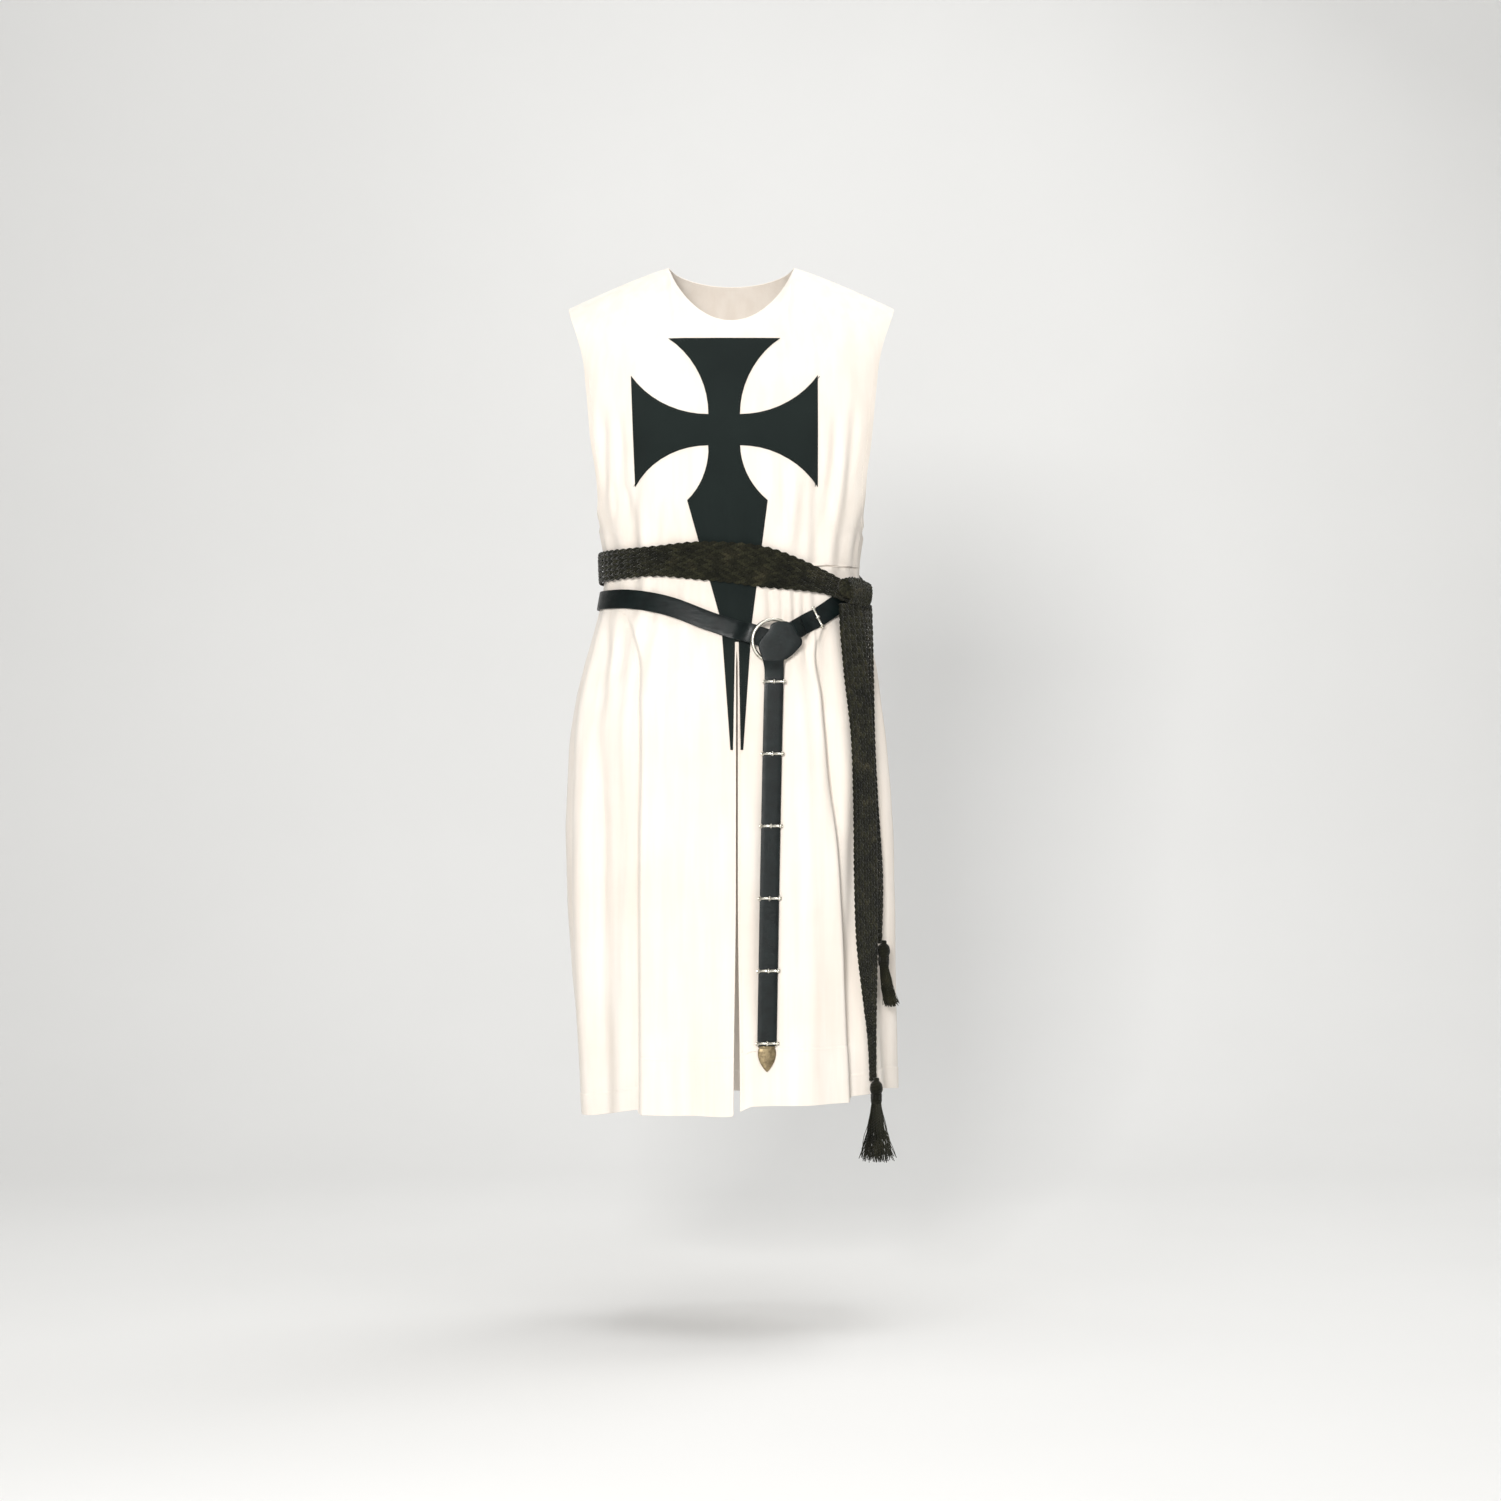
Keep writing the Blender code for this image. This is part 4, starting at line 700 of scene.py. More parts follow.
def creases(arc, z):
    """Small creases given one by one, deepest in the middle of their length, and a faint unevenness."""
    total = UNEVEN * off_middle(arc, LOFT_END if np.ndim(z) else z) * (
        np.sin(arc * 61 + 2.1 * np.sin(z * 23)) * np.sin(z * 37 + 1.3 * np.sin(arc * 29))
        + 0.6 * np.sin(arc * 113 + z * 41 + 0.7)
    )
    highest, lowest = float(np.max(z)), float(np.min(z))
    for arc_top, arc_end, z_top, z_end, height, width in crease_arcs():
        if z_end > highest or z_top < lowest:
            continue
        down = (z_top - z) / (z_top - z_end)
        middle = arc_top + (arc_end - arc_top) * down + 0.25 * width * np.sin(down * 5)
        grown = ease(np.minimum(down / 0.35, (1 - down) / 0.35))
        total = total + height * grown * np.exp(-(((arc - middle) / width) ** 2))
    return total


def hem_turn(arc, z):
    """The turned-up hem is two layers thick, up to its stitch line, where it is pressed."""
    if z >= WAIST:
        return np.zeros_like(arc)
    deep = np.where((arc > -HEM_FRONT_ARC[0]) & (arc < HEM_FRONT_ARC[1]), HEM_DEEP_FRONT, HEM_DEEP)
    above = hem_stretch(arc, z) - hem_height(arc) - deep
    return HEM_STEP * (1 - ease(above / 0.003 + 0.5)) - HEM_PRESS * np.exp(-((above / 0.002) ** 2))


def body(arc, z, way=0, out=0.0):
    """Points of the worn cloth's outer face for a row z, moved out by out. way picks the slit's flap."""
    arc = np.asarray(arc, float)
    here, outward = plan(arc, z)
    height = gathers(arc, z) + long_folds(arc, z) + pleats(arc, z) + creases(arc, z) + hem_turn(arc, z) + out
    if way:
        height = height + flap(arc, z, way)
    flat = here + outward * height[..., None]
    return np.concatenate([flat, hem_stretch(arc, z)[..., None]], -1)


def body_normal(arc, z, way=0):
    arc = np.asarray(arc, float)
    across = body(arc + STEP, z, way) - body(arc - STEP, z, way)
    down = body(arc, z - STEP * 2, way) - body(arc, min(z + STEP * 2, LOFT_END), way)
    return unit(np.cross(down, across))


def shoulder(share, front):
    """Point and downward direction on the top edge; share is 0 in the middle and 1 at the shoulder tip."""
    face = -1 if front else 1
    neck_share = NECK_HALF / SHOULDER_HALF
    size = abs(share)
    if size >= neck_share:
        along = (size - neck_share) / (1 - neck_share)
        point = (share * SHOULDER_HALF, 0.0, SHOULDER_RISE - SHOULDER_DROP * along**1.15)
        return np.array(point), unit((0.0, face, -0.3))
    deep_y, deep_z = NECK_FRONT if front else NECK_BACK
    inside = 1 - (size / neck_share) ** 2
    height = SHOULDER_RISE + (deep_z - SHOULDER_RISE) * inside**0.75
    point = (share * SHOULDER_HALF, deep_y * inside**0.5, height)
    return np.array(point), unit((0.0, face * (1 - 0.45 * inside), -0.3 - 0.7 * inside))


def loft(arcs, shares, front):
    """Rows from the shoulders and the neck down to the first row of the body."""
    low = body(arcs, LOFT_END)
    low_way = unit(body(arcs, LOFT_END - 0.01) - low)
    tops, top_ways = (np.array(part) for part in zip(*(shoulder(share, front) for share in shares)))
    reach = 1.1 * np.linalg.norm(low - tops, axis=1, keepdims=True)
    return np.array([hermite(q, reach, tops, top_ways, low, low_way) for q in LOFT_ROWS])


def grid_normals(points):
    """Outward normals of a grid of rows and columns from its neighbours."""
    across = np.gradient(points, axis=1)
    down = np.gradient(points, axis=0)
    return unit(np.cross(down, across))


def seam_normals(shares):
    """Normals on the shoulder seam, the same for front and back."""
    slope = math.atan2(SHOULDER_DROP, SHOULDER_HALF - NECK_HALF)
    return np.array([(math.copysign(math.sin(slope), s), 0.0, math.cos(slope)) for s in shares])


def panel(shares, front, way=0):
    """Outer points, normals and cloth coordinates of the front or back, from the top edge to the hem.

    shares are the columns, -1 at the left edge, 0 in the middle and 1 at the right edge.
    """
    shares = np.asarray(shares, float)
    arcs_by_row = [panel_arcs(shares, z, front, way) for z in BODY_ROWS]
    upper = loft(arcs_by_row[0], shares, front)
    lower = np.array([body(arcs, z, way) for arcs, z in zip(arcs_by_row, BODY_ROWS)])
    q = np.asarray(LOFT_ROWS)[:, None]
    upper_arcs = np.broadcast_to(arcs_by_row[0], upper.shape[:2])
    fold = creases(upper_arcs, upper[..., 2])
    fold = (fold - creases(arcs_by_row[0], LOFT_END)) * ease(q / 0.15) * ease((1 - q) / 0.2)
    upper = upper + grid_normals(upper) * fold[..., None]
    points = np.concatenate([upper, lower])
    normals = grid_normals(points)
    on_seam = np.abs(shares) >= NECK_HALF / SHOULDER_HALF
    normals[0][on_seam] = seam_normals(shares)[on_seam]
    points[0][on_seam] += np.array((0.0, (-1 if front else 1) * SEAM_GAP / 2, 0.0))
    for j, (arcs, z) in enumerate(zip(arcs_by_row, BODY_ROWS)):
        if z <= ARMHOLE_END:
            normals[len(LOFT_ROWS) + j] = body_normal(arcs, z, way)
    coords = np.stack([np.concatenate([upper_arcs, arcs_by_row]), points[..., 2]], -1)
    return points, normals, coords


def panel_arcs(shares, z, front, way):
    """Arcs of a panel's columns at the row z, edges moved back by half the seam gap."""
    edge = front_edge if front else back_edge
    inset = SEAM_GAP / 2 if z <= ARMHOLE_END else 0.0
    left, right = edge(z, -1), edge(z, 1)
    if front:
        middle = slit_arc(z) + way * slit_half(z)
        ends = (-left + inset, middle, right - inset)
        return np.interp(shares, (-1, 0, 1), ends)
    behind_left, behind_right = back_arc(z, -1), back_arc(z, 1)
    arcs_right = behind_right + (right + inset - behind_right) * shares
    arcs_left = -behind_left - (behind_left - left - inset) * shares
    return np.where(shares >= 0, arcs_right, arcs_left)


def column_shares(count):
    """Columns from the middle to the edge, closer together at the edge where the pleat is."""
    even = np.linspace(0, 1, count)
    return 1 - (1 - even) * (0.45 + 0.55 * (1 - even) ** 0.9)


def grid_quads(index):
    """Four-sided faces of a grid of vertex numbers, facing out."""
    a, b, c, d = index[:-1, :-1], index[:-1, 1:], index[1:, 1:], index[1:, :-1]
    return np.stack([a, d, c, b], -1).reshape(-1, 4)


def numbering(rows, columns):
    return np.arange(rows * columns).reshape(rows, columns)


def placed(name, data):
    """A new object in the scene."""
    thing = bpy.data.objects.new(name, data)
    bpy.context.scene.collection.objects.link(thing)
    return thing


class Shape:
    """Points and faces of one piece, each corner with its place on the material in metres."""

    def __init__(self):
        self.points, self.faces, self.places, self.count = [], [], [], 0

    def add(self, points, faces, places):
        """places holds a pair for each corner of each face."""
        self.points.append(np.asarray(points, float).reshape(-1, 3))
        self.faces += [tuple(int(v) + self.count for v in face) for face in faces]
        self.places.append(np.asarray(places, float).reshape(-1, 2))
        self.count += len(self.points[-1])

    def tube(self, rings, closed=False, place=(0.0, 0.0)):
        """A tube through rings of points, with flat ends unless it is closed. place starts it on the material."""
        rings = np.asarray(rings, float)
        count, sides = rings.shape[:2]
        index = numbering(count, sides)
        last = count if closed else count - 1
        j, i = np.meshgrid(np.arange(last), np.arange(sides), indexing="ij")
        k, n = (j + 1) % count, (i + 1) % sides
        quads = np.stack([index[j, i], index[k, i], index[k, n], index[j, n]], -1).reshape(-1, 4)
        middles = rings.mean(1)
        steps = np.linalg.norm(np.roll(middles, -1, 0) - middles, axis=1)
        along = np.concatenate([[0], np.cumsum(steps)])
        around = np.linalg.norm(rings[0] - np.roll(rings[0], 1, 0), axis=1).sum() / sides
        places = np.stack([
            np.stack([along[j], i * around], -1),
            np.stack([along[j + 1], i * around], -1),
            np.stack([along[j + 1], (i + 1) * around], -1),
            np.stack([along[j], (i + 1) * around], -1),
        ], -2)
        faces, all_places = list(quads), places.reshape(-1, 2)
        if not closed:
            ends = np.stack([np.zeros(sides), np.arange(sides) * around], -1)
            faces += [tuple(index[0]), tuple(index[-1])[::-1]]
            all_places = np.concatenate([all_places, ends, (ends + (along[count - 1], 0))[::-1]])
        spots = rings.reshape(-1, 3) - middles.mean(0)
        a, b, c, d = (spots[quads[:, i]] for i in range(4))
        if (np.cross(a, b) * (c + d) + np.cross(c, d) * (a + b)).sum() < 0:
            faces = [tuple(face)[::-1] for face in faces]
            sizes = np.array([len(face) for face in faces])
            starts = np.cumsum(sizes) - sizes
            order = np.concatenate([np.arange(size)[::-1] + start for start, size in zip(starts, sizes)])
            all_places = all_places[order]
        self.add(rings, faces, all_places + np.array(place))
        return self

    def make(self, name, finish, slot, nodes=(), sharp=50):
        mesh = bpy.data.meshes.new(name)
        mesh.from_pydata(np.concatenate(self.points).tolist(), [], self.faces)
        layer = mesh.uv_layers.new(name=PLACE)
        layer.data.foreach_set("uv", np.concatenate(self.places).astype(np.float32).ravel())
        mesh.materials.append(finish)
        mesh.shade_smooth()
        mesh.set_sharp_from_angle(angle=math.radians(sharp))
        thing = placed(name, mesh)
        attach(thing, "root")
        if nodes:
            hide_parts(*nodes)
        return thing


def wall(name, points, normals, coords, faces, thick, finish, slot, nodes):
    """A closed shell of cloth: the outer face, the inner face and a rounded edge between them."""
    used = np.unique(faces)
    number = np.zeros(len(points), int)
    number[used] = np.arange(len(used))
    points, normals, coords, faces = points[used], normals[used], coords[used], number[faces]
    count = len(points)
    sides = np.stack([faces, np.roll(faces, -1, 1)], -1).reshape(-1, 2)
    seen = {(int(a), int(b)) for a, b in sides}
    rim = np.array([(a, b) for a, b in map(tuple, sides.tolist()) if (b, a) not in seen])
    away = np.zeros((count, 3))
    for a, b in rim:
        outward = np.cross(points[b] - points[a], normals[a] + normals[b])
        away[a] += outward
        away[b] += outward
    edge = np.unique(rim)
    middle = np.full(count, -1)
    middle[edge] = 2 * count + np.arange(len(edge))
    middles = points[edge] - normals[edge] * thick / 2 + unit(away[edge]) * EDGE_ROUND
    inner = faces[:, ::-1] + count
    a, b = rim.T
    upper = np.stack([b, a, middle[a], middle[b]], -1)
    lower = np.stack([middle[b], middle[a], a + count, b + count], -1)
    all_faces = np.concatenate([faces, inner, upper, lower])
    all_points = np.concatenate([points, points - normals * thick, middles])
    all_coords = np.concatenate([coords, coords, coords[edge]])
    shape = Shape()
    shape.add(all_points, all_faces.tolist(), all_coords[all_faces])
    return shape.make(name, finish, slot, nodes)


def front_grid():
    """The front's outer points, normals, cloth coordinates and faces; the slit's column is double."""
    half = column_shares(HALF_COLUMNS)
    left = panel(-half[::-1], True, -1)
    right = panel(half, True, 1)
    rows = left[0].shape[0]
    split = len(LOFT_ROWS) + sum(z >= SLIT_TOP for z in BODY_ROWS)
    left_index = numbering(rows, HALF_COLUMNS)
    right_index = left_index + rows * HALF_COLUMNS
    right_index[:split, 0] = left_index[:split, -1]
    points, normals, coords = (
        np.concatenate([a.reshape(-1, a.shape[-1]), b.reshape(-1, b.shape[-1])]) for a, b in zip(left, right)
    )
    return points, normals, coords, np.concatenate([grid_quads(left_index), grid_quads(right_index)])


def cloth_sheet(node, points, normals, coords, finish):
    """A piece of cloth from grids of its outer points, normals and cloth coordinates."""
    flat = [part.reshape(-1, part.shape[-1]) for part in (points, normals, coords)]
    faces = grid_quads(numbering(*points.shape[:2]))
    return wall(f"{node}_cloth", *flat, faces, CLOTH, finish, "cloth", [node])


def make_back(finish):
    # Seen from behind the columns run the other way, so the faces point out.
    return cloth_sheet("back", *panel(np.linspace(-1, 1, BACK_COLUMNS)[::-1], False), finish)


def make_gore(node, way, finish):
    rows = [GORE_TOP] + [z for z in BODY_ROWS if z < GORE_TOP]
    share = np.linspace(0, 1, GORE_COLUMNS) ** 1.2
    arcs_by_row = []
    for z in rows:
        start, end = front_seam(z, way) + SEAM_GAP / 2, back_seam(z, way) - SEAM_GAP / 2
        arcs_by_row.append((way * (start + (end - start) * share))[::way])
    points = np.array([body(arcs, z) for arcs, z in zip(arcs_by_row, rows)])
    normals = np.array([body_normal(arcs, z) for arcs, z in zip(arcs_by_row, rows)])
    return cloth_sheet(node, points, normals, np.stack([arcs_by_row, points[..., 2]], -1), finish)


def arc_points(start, end):
    """Points on the circle that leaves start along the arm's axis and reaches end.

    Both are (along, out) from the cross's middle; the first point is left out.
    """
    run, rise = end[0] - start[0], end[1] - start[1]
    radius = (run**2 + rise**2) / (2 * rise)
    turn = math.atan2(run, radius - rise)
    steps = np.linspace(0, turn, ARC_STEPS + 1)[1:]
    return [(start[0] + radius * math.sin(a), start[1] + radius * (1 - math.cos(a))) for a in steps]


def cross_axis(z):
    """x of the cross's middle line, which drifts to the slit."""
    drift = ease((CROSS_CENTRE[1] - z) / (CROSS_CENTRE[1] - SLIT_TOP))
    return CROSS_CENTRE[0] + (SLIT_ARC - CROSS_CENTRE[0]) * drift


def cross_outline():
    """The cross seen from the front, in x and z, counter-clockwise from the top arm's right corner."""
    arm = [(CROSS_NECK, CROSS_NECK)] + arc_points((CROSS_NECK, CROSS_NECK), (CROSS_ARM, CROSS_ARM_HALF))
    foot = arc_points((CROSS_NECK, CROSS_NECK), (CROSS_FOOT_FLARE, CROSS_FOOT_HALF))
    foot += [(CROSS_FOOT_TAPER, CROSS_FOOT_TAPER_HALF), (CROSS_FOOT_END, CROSS_FOOT_END_HALF)]
    notch_top = CROSS_CENTRE[1] - SLIT_TOP
    notch = [
        (CROSS_FOOT_END, CROSS_SLIT_MARGIN + slit_half(CROSS_CENTRE[1] - CROSS_FOOT_END)),
        (notch_top, CROSS_SLIT_MARGIN_TOP + slit_half(SLIT_TOP - 0.05)),
    ]
    cx, cz = CROSS_CENTRE
    right = [(cx + out, cz + along) for along, out in arm[::-1]]
    right += [(cx + along, cz + out) for along, out in arm[1:]]
    right += [(cx + along, cz - out) for along, out in arm[:0:-1]]
    right += [(cross_axis(cz - along) + out, cz - along) for along, out in [arm[0]] + foot + notch]
    left = [(2 * cross_axis(z) - x if z < cz - CROSS_NECK else 2 * cx - x, z) for x, z in right]
    return right[::-1] + left


def turn_outward(thing):
    """Makes all faces of a closed mesh point out."""
    mesh = bmesh.new()
    mesh.from_mesh(thing.data)
    bmesh.ops.recalc_face_normals(mesh, faces=mesh.faces)
    mesh.to_mesh(thing.data)
    mesh.free()


def make_cross(finish):
    """The front's own points moved out, cut to the cross's outline."""
    points, normals, coords, faces = front_grid()
    low, high = CROSS_CENTRE[1] - CROSS_FOOT_END - CROSS_SPARE_LOW, CROSS_CENTRE[1] + CROSS_ARM + CROSS_SPARE
    wide = CROSS_ARM + CROSS_SPARE
    inside = (points[:, 2] > low) & (points[:, 2] < high) & (np.abs(points[:, 0]) < wide) & (points[:, 1] < 0)
    faces = faces[inside[faces].all(1)]
    moved = points + normals * (SEAM_GAP + CROSS_THICK)
    cloth = wall("cross_cloth", moved, normals, coords, faces, CROSS_THICK, finish, "black_cloth", ["cross"])
    edge = cross_outline()
    count = len(edge)
    shape = Shape()
    ends = [(x, CUTTER_FRONT, z) for x, z in edge] + [(x, 0.0, z) for x, z in edge]
    sides = [(i, (i + 1) % count, (i + 1) % count + count, i + count) for i in range(count)]
    caps = [tuple(range(count))[::-1], tuple(range(count, 2 * count))]
    shape.add(ends, sides + caps, np.zeros((6 * count, 2)))
    cutter = shape.make("cross_cutter", finish, "black_cloth")
    turn_outward(cutter)
    cut = cloth.modifiers.new("cut", "BOOLEAN")
    cut.operation = "INTERSECT"
    cut.solver = "MANIFOLD"
    cut.object = cutter
    graph = bpy.context.evaluated_depsgraph_get()
    done = bpy.data.meshes.new_from_object(cloth.evaluated_get(graph))
    cloth.modifiers.clear()
    cloth.data = done
    bpy.data.objects.remove(cutter)
    return cloth


def flat_ring(middle, wide, out, half, thick):
    """Eight points of a flat band's section round its middle; wide and out are its two directions."""
    deep, edge = thick / 2, 0.45 * thick / 2
    inner = half * (1 - 0.35 * thick / half)
    near = ((inner, deep), (half, edge), (half, -edge), (inner, -deep))
    far = [(-a, b) for a, b in near[::-1]]
    return [middle + wide * a + out * b for a, b in (*near, *far)]


def cloth_points():
    """Samples of the cloth's outer face below the chest, with the cross's thickness added over the cross."""
    points = []
    for z in np.arange(SAMPLE_TOP, -LENGTH, -SAMPLE_ROW):
        arcs = np.linspace(-back_arc(round(z, 6), -1), back_arc(round(z, 6), 1), SAMPLE_COLUMNS)
        for way in (-1, 1):
            side = arcs[arcs * way >= 0]
            row = body(side, float(z), way if z < SLIT_TOP else 0)
            in_front = (np.abs(row[:, 0]) < SAMPLE_CROSS) & (row[:, 1] < 0)
            on_cross = in_front & (z > CROSS_CENTRE[1] - CROSS_FOOT_END - 0.01)
            row[:, 1] -= on_cross * (SEAM_GAP + CROSS_THICK)
            points.append(row)
    return np.concatenate(points)


def band_points(rings):
    """Samples of the outer face of a band made of sections."""
    rings = np.asarray(rings)
    across = np.linspace(0, 1, 5)[None, :, None]
    faces = rings[:, None, 0] * (1 - across) + rings[:, None, 7] * across
    samples = [faces[:-1] * (1 - t) + faces[1:] * t for t in (0, 0.25, 0.5, 0.75)]
    return np.concatenate([s.reshape(-1, 3) for s in samples])


def stand_off(frame, half, near, support):
    """How far the support reaches along outward within a window round a frame's middle."""
    middle, along, up, out = frame
    away = support - middle
    inside = (np.abs(away @ along) < near) & (np.abs(away @ up) < half) & (np.abs(away @ out) < WINDOW_DEEP)
    return float((away[inside] @ out).max()) if inside.any() else 0.0


def eased(reach, closed=False):
    """Fills the hollows between neighbouring stations, so that a band stays straight over the folds."""
    for _ in range(8):
        if closed:
            sides = (np.roll(reach, 1) + np.roll(reach, -1)) / 2
        else:
            padded = np.concatenate([[reach[0]], reach, [reach[-1]]])
            sides = (padded[:-2] + padded[2:]) / 2
        reach = np.maximum(reach, sides)
    return reach


def band_frame(arc, z, half, slope):
    """Middle, along, up and outward directions of a band's section seated on the plan outline.

    slope is the band's rise along its arc; the section stands square to it.
    """
    ends, outs = [], []
    for way in (1, -1):
        rise = way * half / math.hypot(1, slope)
        here, outward = plan(np.array([arc - rise * slope]), z + rise)
        ends.append(np.append(here[0], z + rise))
        outs.append(np.append(outward[0], 0.0))
    up = unit(ends[0] - ends[1])
    along = unit(np.cross(up, outs[0] + outs[1]))
    return (ends[0] + ends[1]) / 2, along, up, unit(np.cross(along, up))


def band_rings(line, thick, support, closed=False):
    """Sections of a band along a line of arcs, heights and half widths, lying on the support."""
    arcs, zs = np.array([station[:2] for station in line]).T
    if closed:
        slopes = (np.roll(zs, -1) - np.roll(zs, 1)) / (2 * abs(arcs[1] - arcs[0]))
    else:
        whole = np.where(np.abs(np.diff(arcs, prepend=arcs[0])) > 0.5, 0.0, np.gradient(zs))
        slopes = whole / np.where(np.abs(np.gradient(arcs)) > 0.2, -0.02, np.gradient(arcs))
    frames = [band_frame(arc, z, half, slope) for (arc, z, half), slope in zip(line, slopes)]
    reach = [stand_off(f, half + WINDOW_PAST, WINDOW_NEAR, support) for f, (_, _, half) in zip(frames, line)]
    reach = eased(np.array(reach), closed) + BAND_CLEAR
    return [
        flat_ring(middle + out * (far + thick / 2), up, out, half, thick)
        for (middle, _, up, out), far, (_, _, half) in zip(frames, reach, line)
    ]


def sash_at(arc):
    """Height and half width of the sash at an arc from the front's middle."""
    way = -1 if arc < 0 else 1
    side = side_arc(WAIST, way)
    if abs(arc) <= side:
        x = float(plan(np.array([arc]), WAIST)[0][0, 0])
        return tuple(read(SASH_LINE, name, x, "x") for name in ("z", "half"))
    behind = float(ease((abs(arc) - side) / SASH_SIDE_BLEND))
    z, half = (SASH_LINE[name][0 if way < 0 else -1] for name in ("z", "half"))
    return z + (SASH_BACK_Z - z) * behind, half + (SASH_BACK_HALF - half) * behind


def sash_line():
    line = []
    for i in range(SASH_STATIONS):
        share = 2 * i / SASH_STATIONS - 1
        arc = share * back_arc(WAIST, 1 if share > 0 else -1)
        line.append((arc, *sash_at(arc)))
    return line


def hanging(rows, x_of_z, half_of_z, thick, support, start=0.0):
    """Sections and frames of a strap that hangs on the support, flat to the skirt's outline.

    start is how far out its top is held; from there it sinks back to the cloth.
    """
    frames, reach = [], []
    for z in rows:
        middle, wide, out = seat(front_arc(z, x_of_z(z)), z)
        frames.append((middle, UP, wide, out))
        reach.append(stand_off(frames[-1], half_of_z(z) + 0.003, 0.03, support))
    reach = np.maximum(np.array(reach), start - END_SLOPE * (rows[0] - np.asarray(rows)))
    reach = eased(reach) + SEAT
    frames = [(m + out * (far + thick / 2), wide, out) for (m, _, wide, out), far in zip(frames, reach)]
    rings = [flat_ring(m, wide, out, half_of_z(z), thick) for z, (m, wide, out) in zip(rows, frames)]
    return rings, frames


def ring_ways(ring):
    """Directions across and out of a flat band's section."""
    return unit(ring[0] + ring[1] - ring[4] - ring[5]), unit(ring[0] + ring[7] - ring[3] - ring[4])


def frames_of(rings):
    """Middle, directions across and out, and half width of each section of a flat band."""
    rings = np.asarray(rings, float)
    across = rings[:, 0] + rings[:, 1] + rings[:, 2] + rings[:, 3] - rings[:, 4:].sum(1)
    out = rings[:, 0] + rings[:, 7] - rings[:, 3] - rings[:, 4]
    half = np.linalg.norm(rings[:, 1] - rings[:, 6], axis=1) / 2
    return rings.mean(1), unit(across), unit(out), half


def densify(values, count, closed=False):
    """Values along a band, read at more places on a smooth curve through them."""
    values = np.asarray(values, float)
    size = len(values)
    places = np.arange(count) * size / count if closed else np.linspace(0, size - 1, count)
    start = np.clip(places.astype(int), 0, size - 1 if closed else size - 2)
    t = (places - start).reshape((-1,) + (1,) * (values.ndim - 1))

    def at(i):
        return values[i % size] if closed else values[np.clip(i, 0, size - 1)]

    a, b, c, d = (at(start + k) for k in (-1, 0, 1, 2))
    return b + 0.5 * t * (c - a + t * (2 * a - 5 * b + 4 * c - d + t * (3 * (b - c) + d - a)))


def even_frames(rings, spacing, closed=False):
    """Frames of a band at an even spacing along it."""
    parts = frames_of(rings)
    fine = [densify(part, 12 * len(rings), closed) for part in parts]
    middles = fine[0]
    steps = np.linalg.norm(np.diff(middles, axis=0, append=middles[:1]), axis=1)
    along = np.concatenate([[0], np.cumsum(steps if closed else steps[:-1])])
    count = max(4, round(along[-1] / spacing))
    places = np.arange(count) * along[-1] / count if closed else np.linspace(0, along[-1], count)
    if closed:
        fine = [np.concatenate([part, part[:1]]) for part in fine]
    even = []
    for part in fine:
        flat = part.reshape(len(part), -1)
        rows = np.stack([np.interp(places, along, flat[:, k]) for k in range(flat.shape[1])], -1)
        even.append(rows.reshape((count,) + part.shape[1:]))
    middle, wide, out, half = even
    return middle, unit(wide), unit(out), half, places, along[-1]


def circle(sides):
    return 2 * math.pi * np.arange(sides) / sides


def round_tube(shape, line, side, up, half, deep, sides, place):
    """A tube along a line with oval sections; side and up are the directions of half and deep."""
    turn = circle(sides)[None, :, None]
    half, deep = (np.broadcast_to(size, len(line))[:, None, None] for size in (half, deep))
    shape.tube(line[:, None] + side[:, None] * (half * np.cos(turn)) + up[:, None] * (deep * np.sin(turn)),
               place=place)


def braid(shape, rings, strands, traverse, closed=False, taper=0.0):
    """A flat braid of many strands that cross from edge to edge, two over and two under.

    traverse is the length along the braid in which a strand crosses it once.
    """
    middle, wide, out, half, along, total = even_frames(rings, BRAID_STEP, closed)
    if closed:
        traverse = total * strands / (2 * round(total * strands / (2 * traverse)))
        middle, wide, out = (np.concatenate([part, part[:1]]) for part in (middle, wide, out))
        half, along = np.append(half, half[0]), np.append(along, total)
    share = along / (2 * traverse)
    narrow = 1 - taper * ease((along / total - 0.9) / 0.1)
    for k in range(strands):
        turn = (share + k / strands) % 1.0
        rightward = turn < 0.5
        across = np.where(rightward, -1 + 4 * turn, 3 - 4 * turn)
        crossing = strands * (1 - across) / 2
        over = np.sin(math.pi / 2 * (crossing - 0.5) + math.pi / 4) * np.where(rightward, 1, -1)
        bend = 1 - np.abs(across) ** 6
        wide_here = half * narrow
        width = STRAND_FILL * 2 * wide_here / strands / np.cos(np.arctan2(2 * wide_here, traverse))
        width = np.minimum(width, STRAND_MOST)
        deep = STRAND_DEEP * (0.8 + 0.2 * np.sin(k * 2.4))
        reach = wide_here - width * 0.5
        line = middle + wide * (reach * across)[:, None] + out * (STRAND_LIFT * over * (0.35 + 0.65 * bend))[:, None]
        forward = unit(np.gradient(line, axis=0))
        flat = unit(np.cross(out, forward))
        up = unit(np.cross(forward, flat))
        round_tube(shape, line, flat, up, width, deep, STRAND_CORNERS, (0.37 * k, k + 0.1))


def thread(shape, points, radius, sides=4, place=(0.0, 0.0)):
    """A thin round tube through points."""
    points = np.asarray(points, float)
    forward = unit(np.gradient(points, axis=0))
    side = unit(np.cross(forward, (0.31, 0.22, 0.92)))
    round_tube(shape, points, side, np.cross(forward, side), radius, radius, sides, place)


